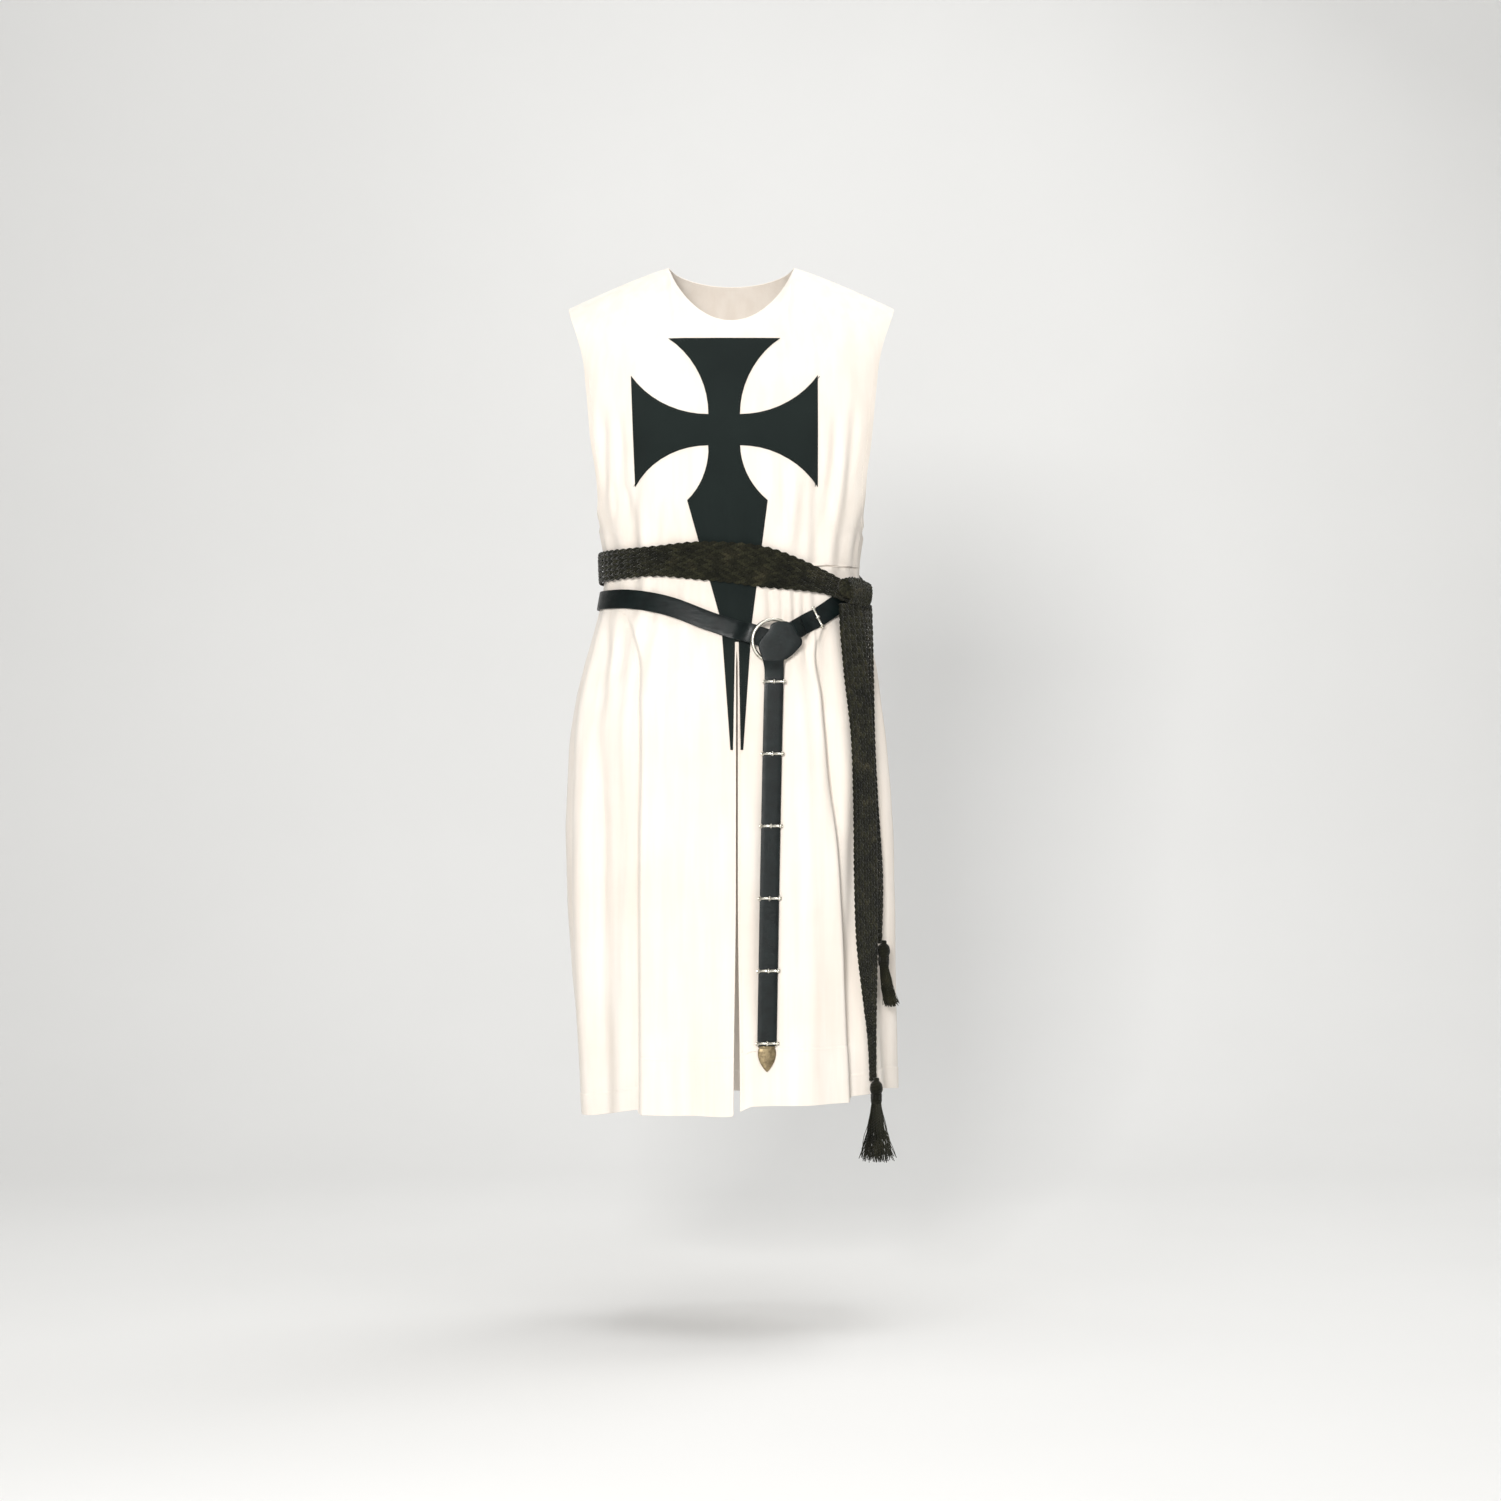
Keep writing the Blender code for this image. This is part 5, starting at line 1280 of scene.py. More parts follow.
def stitch_row(shape, points, normals):
    """Stitches along a line on the cloth: short threads whose ends dip into it."""
    along = np.concatenate([[0], np.cumsum(np.linalg.norm(np.diff(points, axis=0), axis=1))])
    lift = np.array((-1.2, 0.5, 0.9, 0.5, -1.2)) * STITCH_RADIUS
    for i in range(int(along[-1] / STITCH_PITCH)):
        places = (i + 0.5 + STITCH_SHARE * np.array((-0.5, -0.38, 0.0, 0.38, 0.5))) * STITCH_PITCH
        line, out = (
            np.stack([np.interp(places, along, values) for values in np.transpose(part)], -1)
            for part in (points, normals)
        )
        thread(shape, line + unit(out) * lift[:, None], STITCH_RADIUS)


def ring_frame(cloth):
    """Middle of the ring, with its sideways and outward directions."""
    middle, wide, out = seat(front_arc(RING_Z, RING_X), RING_Z)
    far = stand_off((middle, wide, UP, out), RING_RADIUS, RING_RADIUS, cloth)
    return middle + out * (far + BAND_CLEAR + BELT_THICK + SEAM_GAP + RING_WIRE), wide, out


def strap_line():
    """Arcs, heights and half widths of the belt from the ring's left side, round the back, to its right."""
    def front_part(line, start, end, count):
        xs, zs = np.array(line).T
        places = [(x, float(smooth(x, xs, zs))) for x in np.linspace(start, end, count)]
        return [(front_arc(z, x), z) for x, z in places]

    left = front_part(BELT_LEFT, BELT_LEFT_END, -BELT_SIDE, 14)
    right = front_part(BELT_RIGHT, BELT_SIDE, BELT_RIGHT_END, 6)
    start, end = left[-1][0], front_arc(BELT_BACK_Z, BELT_SIDE)
    left_end, right_end = -back_arc(BELT_BACK_Z, -1), back_arc(BELT_BACK_Z, 1)
    shares = np.linspace(0, 1, 13)
    behind = [start + (left_end - start) * share for share in shares[1:]]
    behind += [right_end + (end - right_end) * share for share in shares[1:-1]]
    return [(arc, z, BELT_HALF) for arc, z in left + [(arc, BELT_BACK_Z) for arc in behind] + right]


def from_ring(ring, turn):
    """Directions from the ring's middle at an angle, and up across the strap that leaves it there."""
    _, wide, out = ring
    away = wide * math.cos(math.radians(turn)) + UP * math.sin(math.radians(turn))
    across = unit(np.cross(out, away))
    return away, across if across[2] > 0 else -across


def strap_rings(centres, across, normals):
    return [flat_ring(centre, across, normal, BELT_HALF, BELT_THICK) for centre, normal in zip(centres, normals)]


def strap_loop(ring, last, turn):
    """Sections of a strap's end: behind the ring's wire, round it, and back in front of the strap."""
    middle, _, out = ring
    away, across = from_ring(ring, turn)
    inset = math.sqrt(RING_RADIUS**2 - BELT_HALF**2)
    radius = RING_WIRE + SEAM_GAP + BELT_THICK / 2
    wire = middle + away * inset
    outer = wire + away * (RING_RADIUS - inset + RING_WIRE * 2)
    angles = [math.pi * k / 6 for k in range(7)]
    round_wire = [out * math.cos(angle) + away * math.sin(angle) for angle in angles]
    under = outer - out * radius
    last_across, last_out = ring_ways(np.array(last))
    flap_out = unit(out + LOOP_END * (last_out - out))
    flap_up = unit(across + LOOP_END * (last_across - across))
    end = under + LOOP_END * (np.array(last).mean(0) - under) + flap_out * (BELT_THICK + 3 * SEAM_GAP)
    centres = [under] + [wire - normal * radius for normal in round_wire] + [outer + out * radius]
    return strap_rings(centres, across, [out, *round_wire, -out]) + strap_rings([end], flap_up, [-flap_out])


def strap_through(ring, turn):
    """Sections of the strap's other end: behind the ring's wire, ending under the tongue's head."""
    middle, _, out = ring
    away, across = from_ring(ring, turn)
    depth = RING_WIRE + SEAM_GAP + BELT_THICK / 2
    reach = (0.004, RING_RADIUS - 0.01, RING_RADIUS + 0.008)
    return strap_rings([middle + away * far - out * depth for far in reach], across, [out] * len(reach))


def at_height(path, z):
    """Point and directions of a hanging strap at height z."""
    zs = -np.array([p[0][2] for p in path])
    return [np.array([np.interp(-z, zs, [p[part][k] for p in path]) for k in range(3)]) for part in range(3)]


def leather_rings(rings, spacing):
    """Finer sections of a leather band: rounded edges and a slightly crowned face."""
    middle, wide, out, half, _, _ = even_frames(rings, spacing)
    return np.stack([
        middle + wide * (half * a)[:, None] + out * (BELT_THICK / 2 * b) for a, b in LEATHER_CORNERS
    ], 1)


def make_leather(cloth, ring, finish):
    """The strap round the hips and the long end that hangs from the ring; returns the strap and the path."""
    stations = band_rings(strap_line(), BELT_THICK, cloth)
    left = strap_through(ring, BELT_LEFT_TURN)
    right = strap_loop(ring, stations[-1], BELT_RIGHT_TURN)
    strap = leather_rings(left + stations + right, LEATHER_STEP)
    Shape().tube(strap).make("belt_strap_leather", finish, "leather", ["belt_strap"])

    middle, wide, out = ring
    front = RING_WIRE + 2 * SEAM_GAP + BELT_THICK * 1.5
    rings, path = [], []
    heights = TONGUE_HEAD["z"]
    for z in np.linspace(heights[0], heights[-1], HEAD_STEPS):
        x, half = (float(smooth(-z, -heights, TONGUE_HEAD[name])) for name in ("x", "half"))
        point = middle + wide * x + UP * z + out * front
        rings.append(flat_ring(point, wide, out, half, BELT_THICK))
        path.append((point, wide, out))
    head = path[-1][0]
    first = head[2] - HEAD_TO_TONGUE

    def x_of_z(z):
        return head[0] + (TONGUE_END_X - head[0]) * (head[2] - z) / (head[2] - TONGUE_END)

    here, _, outward = seat(front_arc(first, head[0]), first)
    held = float((head[:2] - here[:2]) @ outward[:2]) - BELT_THICK - TONGUE_HELD
    rows = np.linspace(first, TONGUE_END, TONGUE_ROWS)
    below, frames = hanging(rows, x_of_z, lambda z: BELT_HALF, BELT_THICK, cloth, held)
    tongue = leather_rings(rings + below, LEATHER_STEP / 2)
    Shape().tube(tongue).make("belt_tongue_leather", finish, "leather", ["belt_tongue"])
    return stations, path + frames


def make_ring(frame, finish):
    middle, wide, out = frame
    turn, around = circle(RING_STEPS)[:, None], circle(RING_SIDES)[None, :, None]
    away = wide * np.cos(turn) + UP * np.sin(turn)
    rings = (middle + away * RING_RADIUS)[:, None] + RING_WIRE * (
        away[:, None] * np.cos(around) + out * np.sin(around)
    )
    Shape().tube(rings, closed=True).make("belt_ring_metal", finish, "silver", ["belt_ring"])


def make_bar(number, centre, across, out, along, finish):
    """A cast bar across the strap: a bead in its middle, one near each end and a small ball at each tip."""
    half_long, half_high, half_deep = BAR_SIZE
    stations = []
    for share, size in [(-s, size) for s, size in BAR_PROFILE[:0:-1]] + list(BAR_PROFILE):
        point = centre + across * half_long * share
        stations.append([
            point + along * half_high * size * math.cos(a) + out * half_deep * 1.7 * size * math.sin(a)
            for a in math.pi * np.arange(9) / 8
        ])
    Shape().tube(stations).make(f"belt_bar_{number}_metal", finish, "silver", [f"belt_bar_{number}"])


def make_belt_metal(path, strap, silver, bronze):
    lift = BELT_THICK / 2 + SEAM_GAP
    for i in range(BAR_COUNT):
        z = BAR_FIRST - i * BAR_PITCH
        middle, wide, out = at_height(path, z)
        down = unit(at_height(path, z + 0.004)[0] - at_height(path, z - 0.004)[0])
        across = unit(wide)
        normal = unit(np.cross(across, down))
        normal = normal if normal @ out > 0 else -normal
        make_bar(i + 1, middle + normal * (lift + BAR_SEAT), across, normal, down, silver)
    middles = np.array([np.mean(ring, axis=0) for ring in strap])
    front = np.where((middles[:, 0] > 0.1) & (middles[:, 1] < 0))[0]
    pick = front[np.argmin(np.abs(middles[front, 0] - STRAP_BAR))]
    across, out = ring_ways(np.array(strap[pick]))
    place = middles[pick] + out * (lift + STRAP_BAR_SEAT)
    make_bar(BAR_COUNT + 1, place, across, out, unit(np.cross(across, out)), silver)
    make_tip(path[-1], bronze)


def make_tip(end, bronze):
    """The leaf-shaped metal end: two raised rims at its mouth and a low ridge down its middle."""
    middle, wide, out = end
    stations = []
    for share, half, deep in TIP_PROFILE:
        point = middle - UP * (SEAM_GAP + TIP_LENGTH * share)
        stations.append([point + wide * TIP_HALF * half * a + out * TIP_DEEP * deep * b for a, b in TIP_CORNERS])
    Shape().tube(np.array(stations)[:, ::-1]).make("belt_tip_metal", bronze, "bronze", ["belt_tip"])


def knot_rings(under):
    """Sections of the knot's roll, as in the solids."""
    middle_arc = front_arc(KNOT[3][1], KNOT_X)
    frames = [band_frame(middle_arc + arc, z, half, 0.0) for arc, z, half, _ in KNOT]
    reach = [stand_off(f, half + WINDOW_PAST, WINDOW_NEAR, under) for f, (_, _, half, _) in zip(frames, KNOT)]
    return [
        flat_ring(middle + out * (far + thick / 2), up, out, half, thick)
        for (middle, _, up, out), far, (_, _, half, thick) in zip(frames, eased(np.array(reach)) + SEAT, KNOT)
    ]


def make_knot(under, finish):
    """The braid's knot: a stuffed core under a lengthwise run of braid, with two turns laid round it."""
    middle, wide, out, half = frames_of(knot_rings(under))
    centre, up, ahead = middle[3], wide[3], out[3]
    along = unit(np.cross(up, ahead))
    shape = Shape()
    core, run = [], []
    for m, w, o, h, (_, _, _, thick) in zip(middle, wide, out, half, KNOT):
        core.append([m + w * h * 0.74 * math.cos(a) + o * thick * 0.3 * math.sin(a) for a in circle(12)])
        run.append(flat_ring(m + o * thick * 0.24, w, o, h * 0.98, KNOT_BRAID_THICK))
    shape.tube(densify(core, 24))
    braid(shape, run, KNOT_STRANDS, KNOT_TRAVERSE)
    for tilt, shift, wide_half in KNOT_WRAPS:
        stations = []
        lean = unit(along * math.cos(tilt) + up * math.sin(tilt))
        rise = unit(np.cross(ahead, lean))
        for angle in np.linspace(-0.55 * math.pi, 0.55 * math.pi, 9):
            place = rise * (half[3] * 0.94) * math.sin(angle) + ahead * (KNOT[3][3] * 0.5 - 0.0022) * math.cos(angle)
            normal = unit(rise * math.sin(angle) * 0.8 + ahead * math.cos(angle))
            stations.append(flat_ring(centre + lean * shift + place, lean, normal, wide_half, KNOT_BRAID_THICK))
        braid(shape, stations, KNOT_STRANDS, WRAP_TRAVERSE)
    shape.make("sash_knot_braid", finish, "braid", ["sash_knot"])


def make_tassel(node, frame, sizes, finish):
    """A head wound with cord and a skirt of fine strands."""
    length, spread, lean, forward, depth = sizes
    middle, wide, out = frame
    top = middle + out * (TASSEL_HEAD - END_THICK / 2) - UP * SEAM_GAP
    turn = circle(HEAD_SIDES)
    flutes = 1 + FLUTE * np.cos(turn * HEAD_SIDES / 2)
    shape = Shape()
    shape.tube([
        top + np.stack([TASSEL_HEAD * r * flutes * np.cos(turn), TASSEL_HEAD * r * flutes * np.sin(turn),
                        np.full(HEAD_SIDES, -down)], -1)
        for down, r in HEAD_PROFILE
    ])
    coil = 2 * math.pi * np.arange(33) / 32
    radius = TASSEL_HEAD * WIND_SHARE
    for k in range(WINDINGS):
        down = -(WIND_TOP + WIND_PITCH * k) - WIND_PITCH * coil / 6.283
        thread(shape, top + np.stack([radius * np.cos(coil), radius * np.sin(coil), down], -1), WIND_RADIUS, 5)
    draw = np.random.default_rng(TASSEL_SEED)
    for i in range(TASSEL_STRANDS):
        share = math.sqrt((i + 0.5) / TASSEL_STRANDS)
        angle = i * math.pi * (3 - math.sqrt(5))
        side, ahead = share * math.cos(angle), share * math.sin(angle)
        root = top + (wide * side + out * ahead) * TASSEL_HEAD * STRAND_ROOT_SHARE - UP * STRAND_ROOT
        room = spread - TASSEL_HEAD
        flare = wide * (side * room + lean) + out * (forward + depth * ahead) * room
        down = np.linspace(0, 1, 9)
        reach = (length - STRAND_ROOT) * (1 - 0.1 * draw.random())
        wave = STRAND_WAVE * np.sin(down * (7 + 4 * draw.random()) + 6.28 * draw.random()) * down
        line = root + flare * (down**1.3)[:, None] - UP * (reach * down)[:, None]
        line = line + wide * wave[:, None] + out * (wave * 0.6)[:, None]
        thread(shape, line, STRAND_THIN * (0.8 + 0.4 * draw.random()), 4, (0.0137 * i, i + 0.1))
    shape.make(f"{node}_strands", finish, "braid", [node])


def make_braid(node, finish, *details, **more):
    shape = Shape()
    braid(shape, *details, **more)
    shape.make(f"{node}_braid", finish, "braid", [node])


def make_sash(cloth, strap, finish):
    """The band over the belt, its knot, the two ends that hang from the knot and their tassels."""
    band = band_rings(sash_line(), SASH_THICK, np.concatenate([cloth, strap]), closed=True)
    make_braid("sash_band", finish, band, BAND_STRANDS, BAND_TRAVERSE, closed=True)
    under = np.concatenate([cloth, strap, band_points(band + band[:1])])
    make_knot(under, finish)
    for end, low, count, taper, tassel in ENDS:
        def x_of_z(z):
            return read(SASH_ENDS, f"{end}_x", z)

        def half_of_z(z):
            return read(SASH_ENDS, f"{end}_half", z)

        rings, frames = hanging(np.linspace(ENDS_TOP, low, count), x_of_z, half_of_z, END_THICK, under)
        make_braid(f"sash_end_{end}", finish, rings, END_STRANDS, END_TRAVERSE, taper=taper)
        make_tassel(f"tassel_{end}", frames[-1], tassel, finish)
        under = np.concatenate([under, band_points(rings)])


def cloth_line(arcs, rows, way=0):
    """Points and normals on the cloth along a line, given by the arc and the row of each point."""
    points = [body([arc], z, way)[0] for arc, z in zip(arcs, rows)]
    normals = [body_normal([arc], z, way)[0] for arc, z in zip(arcs, rows)]
    return points, normals


def row_above_hem(arc, above):
    """The row that lies so far above the hem at an arc."""
    low = float(hem_height(arc))
    return WAIST + (low + above - WAIST) * (-LENGTH - WAIST) / (low - WAIST)


def make_stitches(finish, dark):
    """Topstitching along the hems, the front seams, the slit and the armholes, and round the cross."""
    shape = Shape()
    below, slit, holes = (
        np.arange(GORE_TOP - 0.02, -LENGTH + 0.004, -STITCH_ROW),
        np.arange(SLIT_TOP - 0.004, -LENGTH + 0.004, -STITCH_ROW),
        np.arange(LOFT_END - 0.002, ARMHOLE_END + 0.004, -HOLE_ROW),
    )
    for way in (-1, 1):
        def stitch(rows, arc_of_z, flap_way=0):
            stitch_row(shape, *cloth_line([arc_of_z(z) for z in rows], rows, flap_way))

        stitch(below, lambda z: way * (front_seam(z, way) - STITCH_OFF))
        stitch(below, lambda z: way * (front_seam(z, way) + STITCH_OFF))
        stitch(below, lambda z: way * (back_seam(z, way) + STITCH_OFF))
        stitch(slit, lambda z: slit_arc(z) + way * (slit_half(z) + SLIT_STITCH_OFF), way)
        under = GORE_TOP - 0.012
        across = way * np.arange(front_seam(under, way) + 0.002, back_seam(under, way) - 0.002, LEVEL_ROW)
        stitch_row(shape, *cloth_line(across, [GORE_TOP + GORE_STITCH_UP] * len(across)))
        stitch(holes, lambda z: way * (front_edge(z, way) - ARMHOLE_TURN))
        stitch(holes, lambda z: way * (back_edge(z, way) + ARMHOLE_TURN))
    left, right = HEM_FRONT_ARC
    for start, end, deep in (
        (-left + 0.002, -0.006, HEM_DEEP_FRONT), (0.022, right - 0.002, HEM_DEEP_FRONT),
        (-0.605, -left - 0.003, HEM_DEEP), (right + 0.003, 0.605, HEM_DEEP),
    ):
        arcs = np.arange(start, end, LEVEL_ROW)
        stitch_row(shape, *cloth_line(arcs, [row_above_hem(arc, deep - HEM_STITCH_DOWN) for arc in arcs]))
    shape.make("stitching", finish, "cloth")

    shape = Shape()
    edge = cross_outline()
    lines, normals = [], []
    for (x0, z0), (x1, z1) in zip(edge, edge[1:] + edge[:1]):
        reach = math.hypot(x1 - x0, z1 - z0)
        if reach < 0.004:
            continue
        inward = np.array((z1 - z0, x0 - x1)) / reach * CROSS_STITCH_IN
        for share in np.linspace(0, 1, max(2, int(reach / 0.008)), endpoint=False):
            x, z = x0 + (x1 - x0) * share - inward[0], z0 + (z1 - z0) * share - inward[1]
            if z > LOFT_END - 0.002:
                continue
            arc = float(arc_at_x(round(z, 4), x))
            lines.append(body([arc], z, out=SEAM_GAP + CROSS_THICK)[0])
            normals.append(body_normal([arc], z)[0])
    gaps = np.linalg.norm(np.diff(lines, axis=0), axis=1)
    cuts = [0] + [i + 1 for i in np.where(gaps > 0.02)[0]] + [len(lines)]
    for start, end in zip(cuts[:-1], cuts[1:]):
        if end - start > 2:
            stitch_row(shape, lines[start:end], normals[start:end])
    shape.make("cross_stitching", dark, "black_cloth")


class Finish:
    """A Principled material put together from nodes."""

    def __init__(self, name, numbers):
        self.material = bpy.data.materials.new(name)
        self.material.use_nodes = True
        self.tree = self.material.node_tree
        self.shader = self.tree.nodes["Principled BSDF"]
        for socket, value in numbers.items():
            self.shader.inputs[socket].default_value = value

    def add(self, kind, settings, *inputs):
        """A node with its settings, and its inputs in order: a number, a socket to link, or None to leave as is."""
        node = self.tree.nodes.new(kind)
        for key, value in settings.items():
            setattr(node, key, value)
        for socket, value in zip(node.inputs, inputs):
            if isinstance(value, bpy.types.NodeSocket):
                self.tree.links.new(value, socket)
            elif value is not None:
                socket.default_value = value
        return node

    def math(self, operation, *inputs):
        return self.add("ShaderNodeMath", {"operation": operation}, *inputs).outputs[0]

    def place(self):
        """The cloth coordinates in metres."""
        uv = self.add("ShaderNodeUVMap", {"uv_map": PLACE})
        return self.add("ShaderNodeSeparateXYZ", {}, uv.outputs[0]).outputs

    def spot(self):
        """The point in the part's own frame, in metres."""
        return self.add("ShaderNodeTexCoord", {}).outputs["Object"]

    def noise(self, vector, scale, detail=3.0, rough=0.55):
        return self.add("ShaderNodeTexNoise", {}, vector, None, scale, detail, rough).outputs[0]

    def scaled(self, vector, factors):
        return self.add("ShaderNodeVectorMath", {"operation": "MULTIPLY"}, vector, factors).outputs[0]

    def ramp(self, factor, stops):
        """Colours or greys by a factor; stops are pairs of place and colour."""
        node = self.add("ShaderNodeValToRGB", {}, factor)
        elements = node.color_ramp.elements
        while len(elements) < len(stops):
            elements.new(0.5)
        for element, (at, colour) in zip(elements, stops):
            element.position = at
            element.color = (*colour, 1) if hasattr(colour, "__len__") else (colour, colour, colour, 1)
        return node.outputs[0]

    def mix(self, factor, a, b):
        node = self.add("ShaderNodeMix", {"data_type": "RGBA"})
        for name, value in (("Factor", factor), ("A", a), ("B", b)):
            kind = "VALUE" if name == "Factor" else "RGBA"
            socket = next(s for s in node.inputs if s.name == name and s.type == kind)
            if isinstance(value, bpy.types.NodeSocket):
                self.tree.links.new(value, socket)
            else:
                socket.default_value = value if name == "Factor" else (*value, 1)
        return next(s for s in node.outputs if s.type == "RGBA")

    def shaded(self, base, factor, most, gone, shade):
        """base with a share of shade: most of it where factor is 0, and none from gone on."""
        return self.mix(self.ramp(factor, ((0.0, most), (gone, 0.0))), base, shade)

    def bump(self, height, distance, strength=1.0, under=None):
        node = self.add("ShaderNodeBump", {})
        node.inputs["Strength"].default_value = strength
        node.inputs["Distance"].default_value = distance
        self.tree.links.new(height, node.inputs["Height"])
        if under is not None:
            self.tree.links.new(under, node.inputs["Normal"])
        return node.outputs[0]

    def set(self, **sockets):
        for name, socket in sockets.items():
            self.tree.links.new(socket, self.shader.inputs[name.replace("_", " ")])
        return self.material


def woven(finish, thread_size, uneven):
    """Height of a plain weave: threads of uneven thickness crossing over and under."""
    u, v, _ = finish.place()
    spot = finish.spot()
    sway = finish.math("MULTIPLY", finish.noise(spot, 45), uneven * thread_size)
    waves = []
    for axis in (u, v):
        turn = finish.math("MULTIPLY", finish.math("ADD", axis, sway), math.pi / thread_size)
        waves.append(finish.math("SINE", turn))
    crossed = finish.math("ABSOLUTE", finish.math("MULTIPLY", *waves))
    return finish.math("POWER", crossed, 0.5)


def cloth_finish():
    """Thick off-white wool and cotton cloth: warm, matt, faintly uneven, with a plain weave and painted shade
    between its threads.
    """
    finish = Finish("tabard_cloth", {"Roughness": 0.92, "Sheen Weight": 0.25, "Sheen Roughness": 0.5,
                                     "Specular IOR Level": 0.2})
    spot = finish.spot()
    weave = woven(finish, CLOTH_THREAD, 2.5)
    patches = finish.noise(spot, 5.0, 4.0, 0.6)
    streaks = finish.noise(finish.scaled(spot, (60.0, 60.0, 4.0)), 1.0, 3.0)
    base = finish.ramp(patches, ((0.3, CLOTH_WARM), (0.7, CLOTH_LIGHT)))
    base = finish.mix(finish.ramp(streaks, ((0.35, 0.22), (0.65, 0.0))), base, CLOTH_SHADE)
    # painted shade: the weave's gaps between the threads are darkened towards CLOTH_SHADE
    base = finish.shaded(base, weave, 0.2, 0.6, CLOTH_SHADE)
    nap = finish.noise(spot, 900.0, 2.0)
    soft = finish.bump(finish.noise(spot, 26.0, 3.0), 0.0018, 0.35)
    normal = finish.bump(weave, 0.00022, 0.6, finish.bump(nap, 0.0002, 0.35, soft))
    return finish.set(Base_Color=base, Normal=normal)


def dark_cloth_finish():
    """The cross's black-green cloth, with painted shade between its threads."""
    finish = Finish("cross_cloth_black", {"Roughness": 0.88, "Sheen Weight": 0.12, "Sheen Roughness": 0.5,
                                          "Specular IOR Level": 0.25})
    spot = finish.spot()
    weave = woven(finish, CLOTH_THREAD * 0.8, 2.0)
    base = finish.ramp(finish.noise(spot, 7.0, 4.0), ((0.3, CROSS_DEEP), (0.7, CROSS_TINT)))
    # painted shade: the weave's gaps between the threads are darkened
    base = finish.shaded(base, weave, 0.45, 0.6, CROSS_GAP_SHADE)
    normal = finish.bump(weave, 0.0002, 0.5, finish.bump(finish.noise(spot, 600.0), 0.0002, 0.35))
    return finish.set(Base_Color=base, Normal=normal)


def braid_finish():
    """Dark olive wool yarn: two plies twisted, with painted shade in the hollows between the plies."""
    finish = Finish("sash_yarn", {"Roughness": 0.88, "Sheen Weight": 0.16, "Sheen Roughness": 0.45,
                                  "Specular IOR Level": 0.16})
    u, v, _ = finish.place()
    spot = finish.spot()
    turn = finish.math("ADD", finish.math("MULTIPLY", u, math.pi / YARN_LAY),
                       finish.math("MULTIPLY", v, math.pi / (YARN_LAY * 1.3)))
    plies = finish.math("ABSOLUTE", finish.math("SINE", turn))
    base = finish.ramp(finish.noise(spot, 38.0, 3.0), ((0.3, YARN_DARK), (0.55, YARN_OLIVE), (0.8, YARN_LIGHT)))
    # painted shade: the hollows between the plies are darkened
    base = finish.shaded(base, plies, 0.75, 0.5, YARN_GAP_SHADE_AND_STRAND_TONE)
    strand = finish.math("SINE", finish.math("MULTIPLY", finish.math("FLOOR", v), 2.4))
    # each strand a little darker or lighter by its number, with the same dark colour
    base = finish.shaded(base, strand, 0.5, 0.55, YARN_GAP_SHADE_AND_STRAND_TONE)
    fibres = finish.noise(finish.scaled(spot, (700.0, 700.0, 300.0)), 1.0, 2.0)
    normal = finish.bump(plies, 0.0007, 0.8, finish.bump(fibres, 0.0003, 0.5))
    return finish.set(Base_Color=base, Normal=normal)


def leather_finish():
    """Black leather with a blue-green cast, fine grain and rubbed places."""
    finish = Finish("belt_leather", {"Specular IOR Level": 0.24})
    spot = finish.spot()
    cells = finish.add("ShaderNodeTexVoronoi", {"feature": "DISTANCE_TO_EDGE"}, spot)
    cells.inputs["Scale"].default_value = 1050.0
    grain = finish.ramp(cells.outputs[0], ((0.0, 0.0), (0.12, 1.0)))
    rubbed = finish.noise(spot, 55.0, 4.0, 0.65)
    base = finish.ramp(rubbed, ((0.35, LEATHER_DEEP), (0.75, LEATHER_RUBBED)))
    rough = finish.ramp(finish.noise(spot, 90.0, 3.0), ((0.3, 0.3), (0.7, 0.46)))
    wrinkles = finish.bump(finish.noise(finish.scaled(spot, (90.0, 90.0, 220.0)), 1.0, 3.0), 0.0006, 0.5)
    normal = finish.bump(grain, 0.00008, 0.45, wrinkles)
    return finish.set(Base_Color=base, Roughness=rough, Normal=normal)


def metal_finish(name, bright, dull, rough):
    """Cast metal, polished in some patches and dull in others."""
    finish = Finish(name, {"Metallic": 1.0})
    spot = finish.spot()
    tarnish = finish.noise(spot, 160.0, 4.0, 0.65)
    base = finish.ramp(tarnish, ((0.38, bright), (0.72, dull)))
    roughness = finish.ramp(tarnish, ((0.3, rough), (0.75, rough + 0.22)))
    normal = finish.bump(finish.noise(spot, 900.0, 2.0), 0.00012, 0.4)
    return finish.set(Base_Color=base, Roughness=roughness, Normal=normal)


def stage_finish():
    finish = Finish("studio_paper", {"Roughness": 0.95, "Specular IOR Level": 0.1})
    base = finish.ramp(finish.noise(finish.spot(), 0.8), ((0.3, STAGE_LIGHT), (0.7, STAGE_SHADE)))
    return finish.set(Base_Color=base)


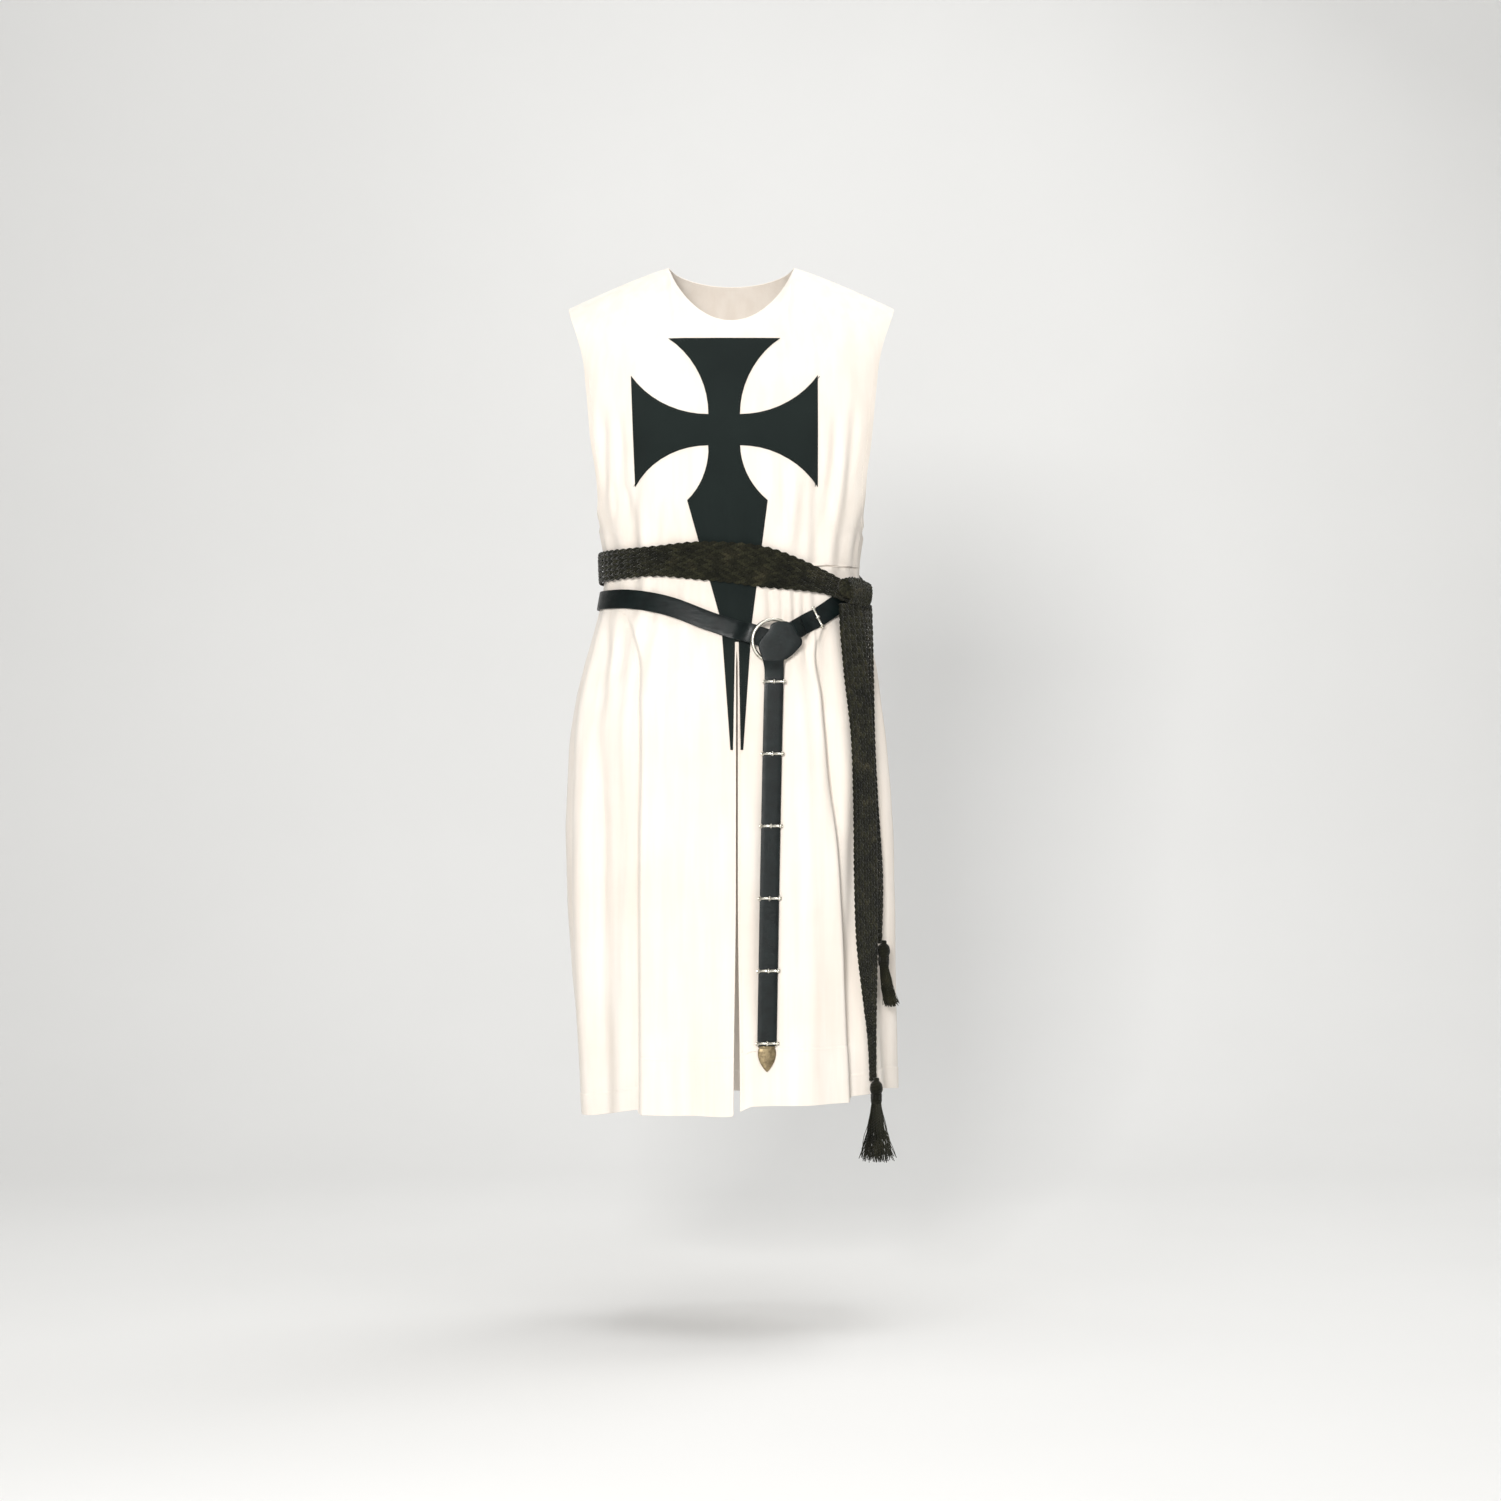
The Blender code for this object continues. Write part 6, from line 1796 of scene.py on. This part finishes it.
def make_stage(finish):
    """A pale floor that curves up into a backdrop."""
    profile = [(-STAGE_REACH, 0.0), (STAGE_DEPTH - STAGE_BEND, 0.0)]
    for step in range(1, 13):
        turn = math.pi / 2 * step / 12
        profile.append((
            STAGE_DEPTH - STAGE_BEND + STAGE_BEND * math.sin(turn), STAGE_BEND - STAGE_BEND * math.cos(turn)
        ))
    profile.append((STAGE_DEPTH, STAGE_HEIGHT))
    points = [(x, y, FLOOR + z) for y, z in profile for x in (-STAGE_REACH, STAGE_REACH)]
    faces = [(2 * i, 2 * i + 1, 2 * i + 3, 2 * i + 2) for i in range(len(profile) - 1)]
    mesh = bpy.data.meshes.new("studio")
    mesh.from_pydata(points, [], faces)
    mesh.shade_smooth()
    mesh.materials.append(finish)
    studio = placed("studio", mesh)


def make_light(name, place, target, power, size, colour):
    light = bpy.data.lights.new(name, "AREA")
    light.energy, light.size, light.color = power, size, colour
    lamp = placed(name, light)
    lamp.location = place
    lamp.rotation_euler = (Vector(target) - Vector(place)).to_track_quat("-Z", "Y").to_euler()


def make_studio():
    scene = bpy.context.scene
    scene.view_settings.view_transform = "Standard"
    world = bpy.data.worlds.new("studio_air")
    world.use_nodes = True
    scene.world = world
    colour, strength = world.node_tree.nodes["Background"].inputs[:2]
    colour.default_value, strength.default_value = (*WORLD_COLOUR, 1), WORLD_STRENGTH
    make_stage(stage_finish())
    for name, place, target, power, size, colour in LIGHTS:
        make_light(name, place, target, power, size, colour)


def make_camera():
    camera = bpy.data.cameras.new("camera")
    camera.sensor_width = SENSOR
    camera.lens = SENSOR * FOCAL_PIXELS / IMAGE_PIXELS
    eye = placed("camera", camera)
    eye.location = CAMERA_PLACE
    eye.rotation_euler = (math.pi / 2, 0, 0)
    bpy.context.scene.camera = eye


def main():
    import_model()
    make_camera()
    make_studio()
    cloth, dark = cloth_finish(), dark_cloth_finish()
    yarn, leather = braid_finish(), leather_finish()
    silver = metal_finish("belt_silver", SILVER_BRIGHT, SILVER_DULL, 0.22)
    bronze = metal_finish("belt_bronze", BRONZE_BRIGHT, BRONZE_DULL, 0.38)

    front = wall("front_cloth", *front_grid(), CLOTH, cloth, "cloth", ["front"])
    back = make_back(cloth)
    gore_left = make_gore("gore_left", -1, cloth)
    gore_right = make_gore("gore_right", 1, cloth)
    cross = make_cross(dark)
    make_stitches(cloth, dark)

    support = cloth_points()
    ring = ring_frame(support)
    strap, path = make_leather(support, ring, leather)
    make_ring(ring, silver)
    make_belt_metal(path, strap, silver, bronze)
    make_sash(support, band_points(strap), yarn)


main()
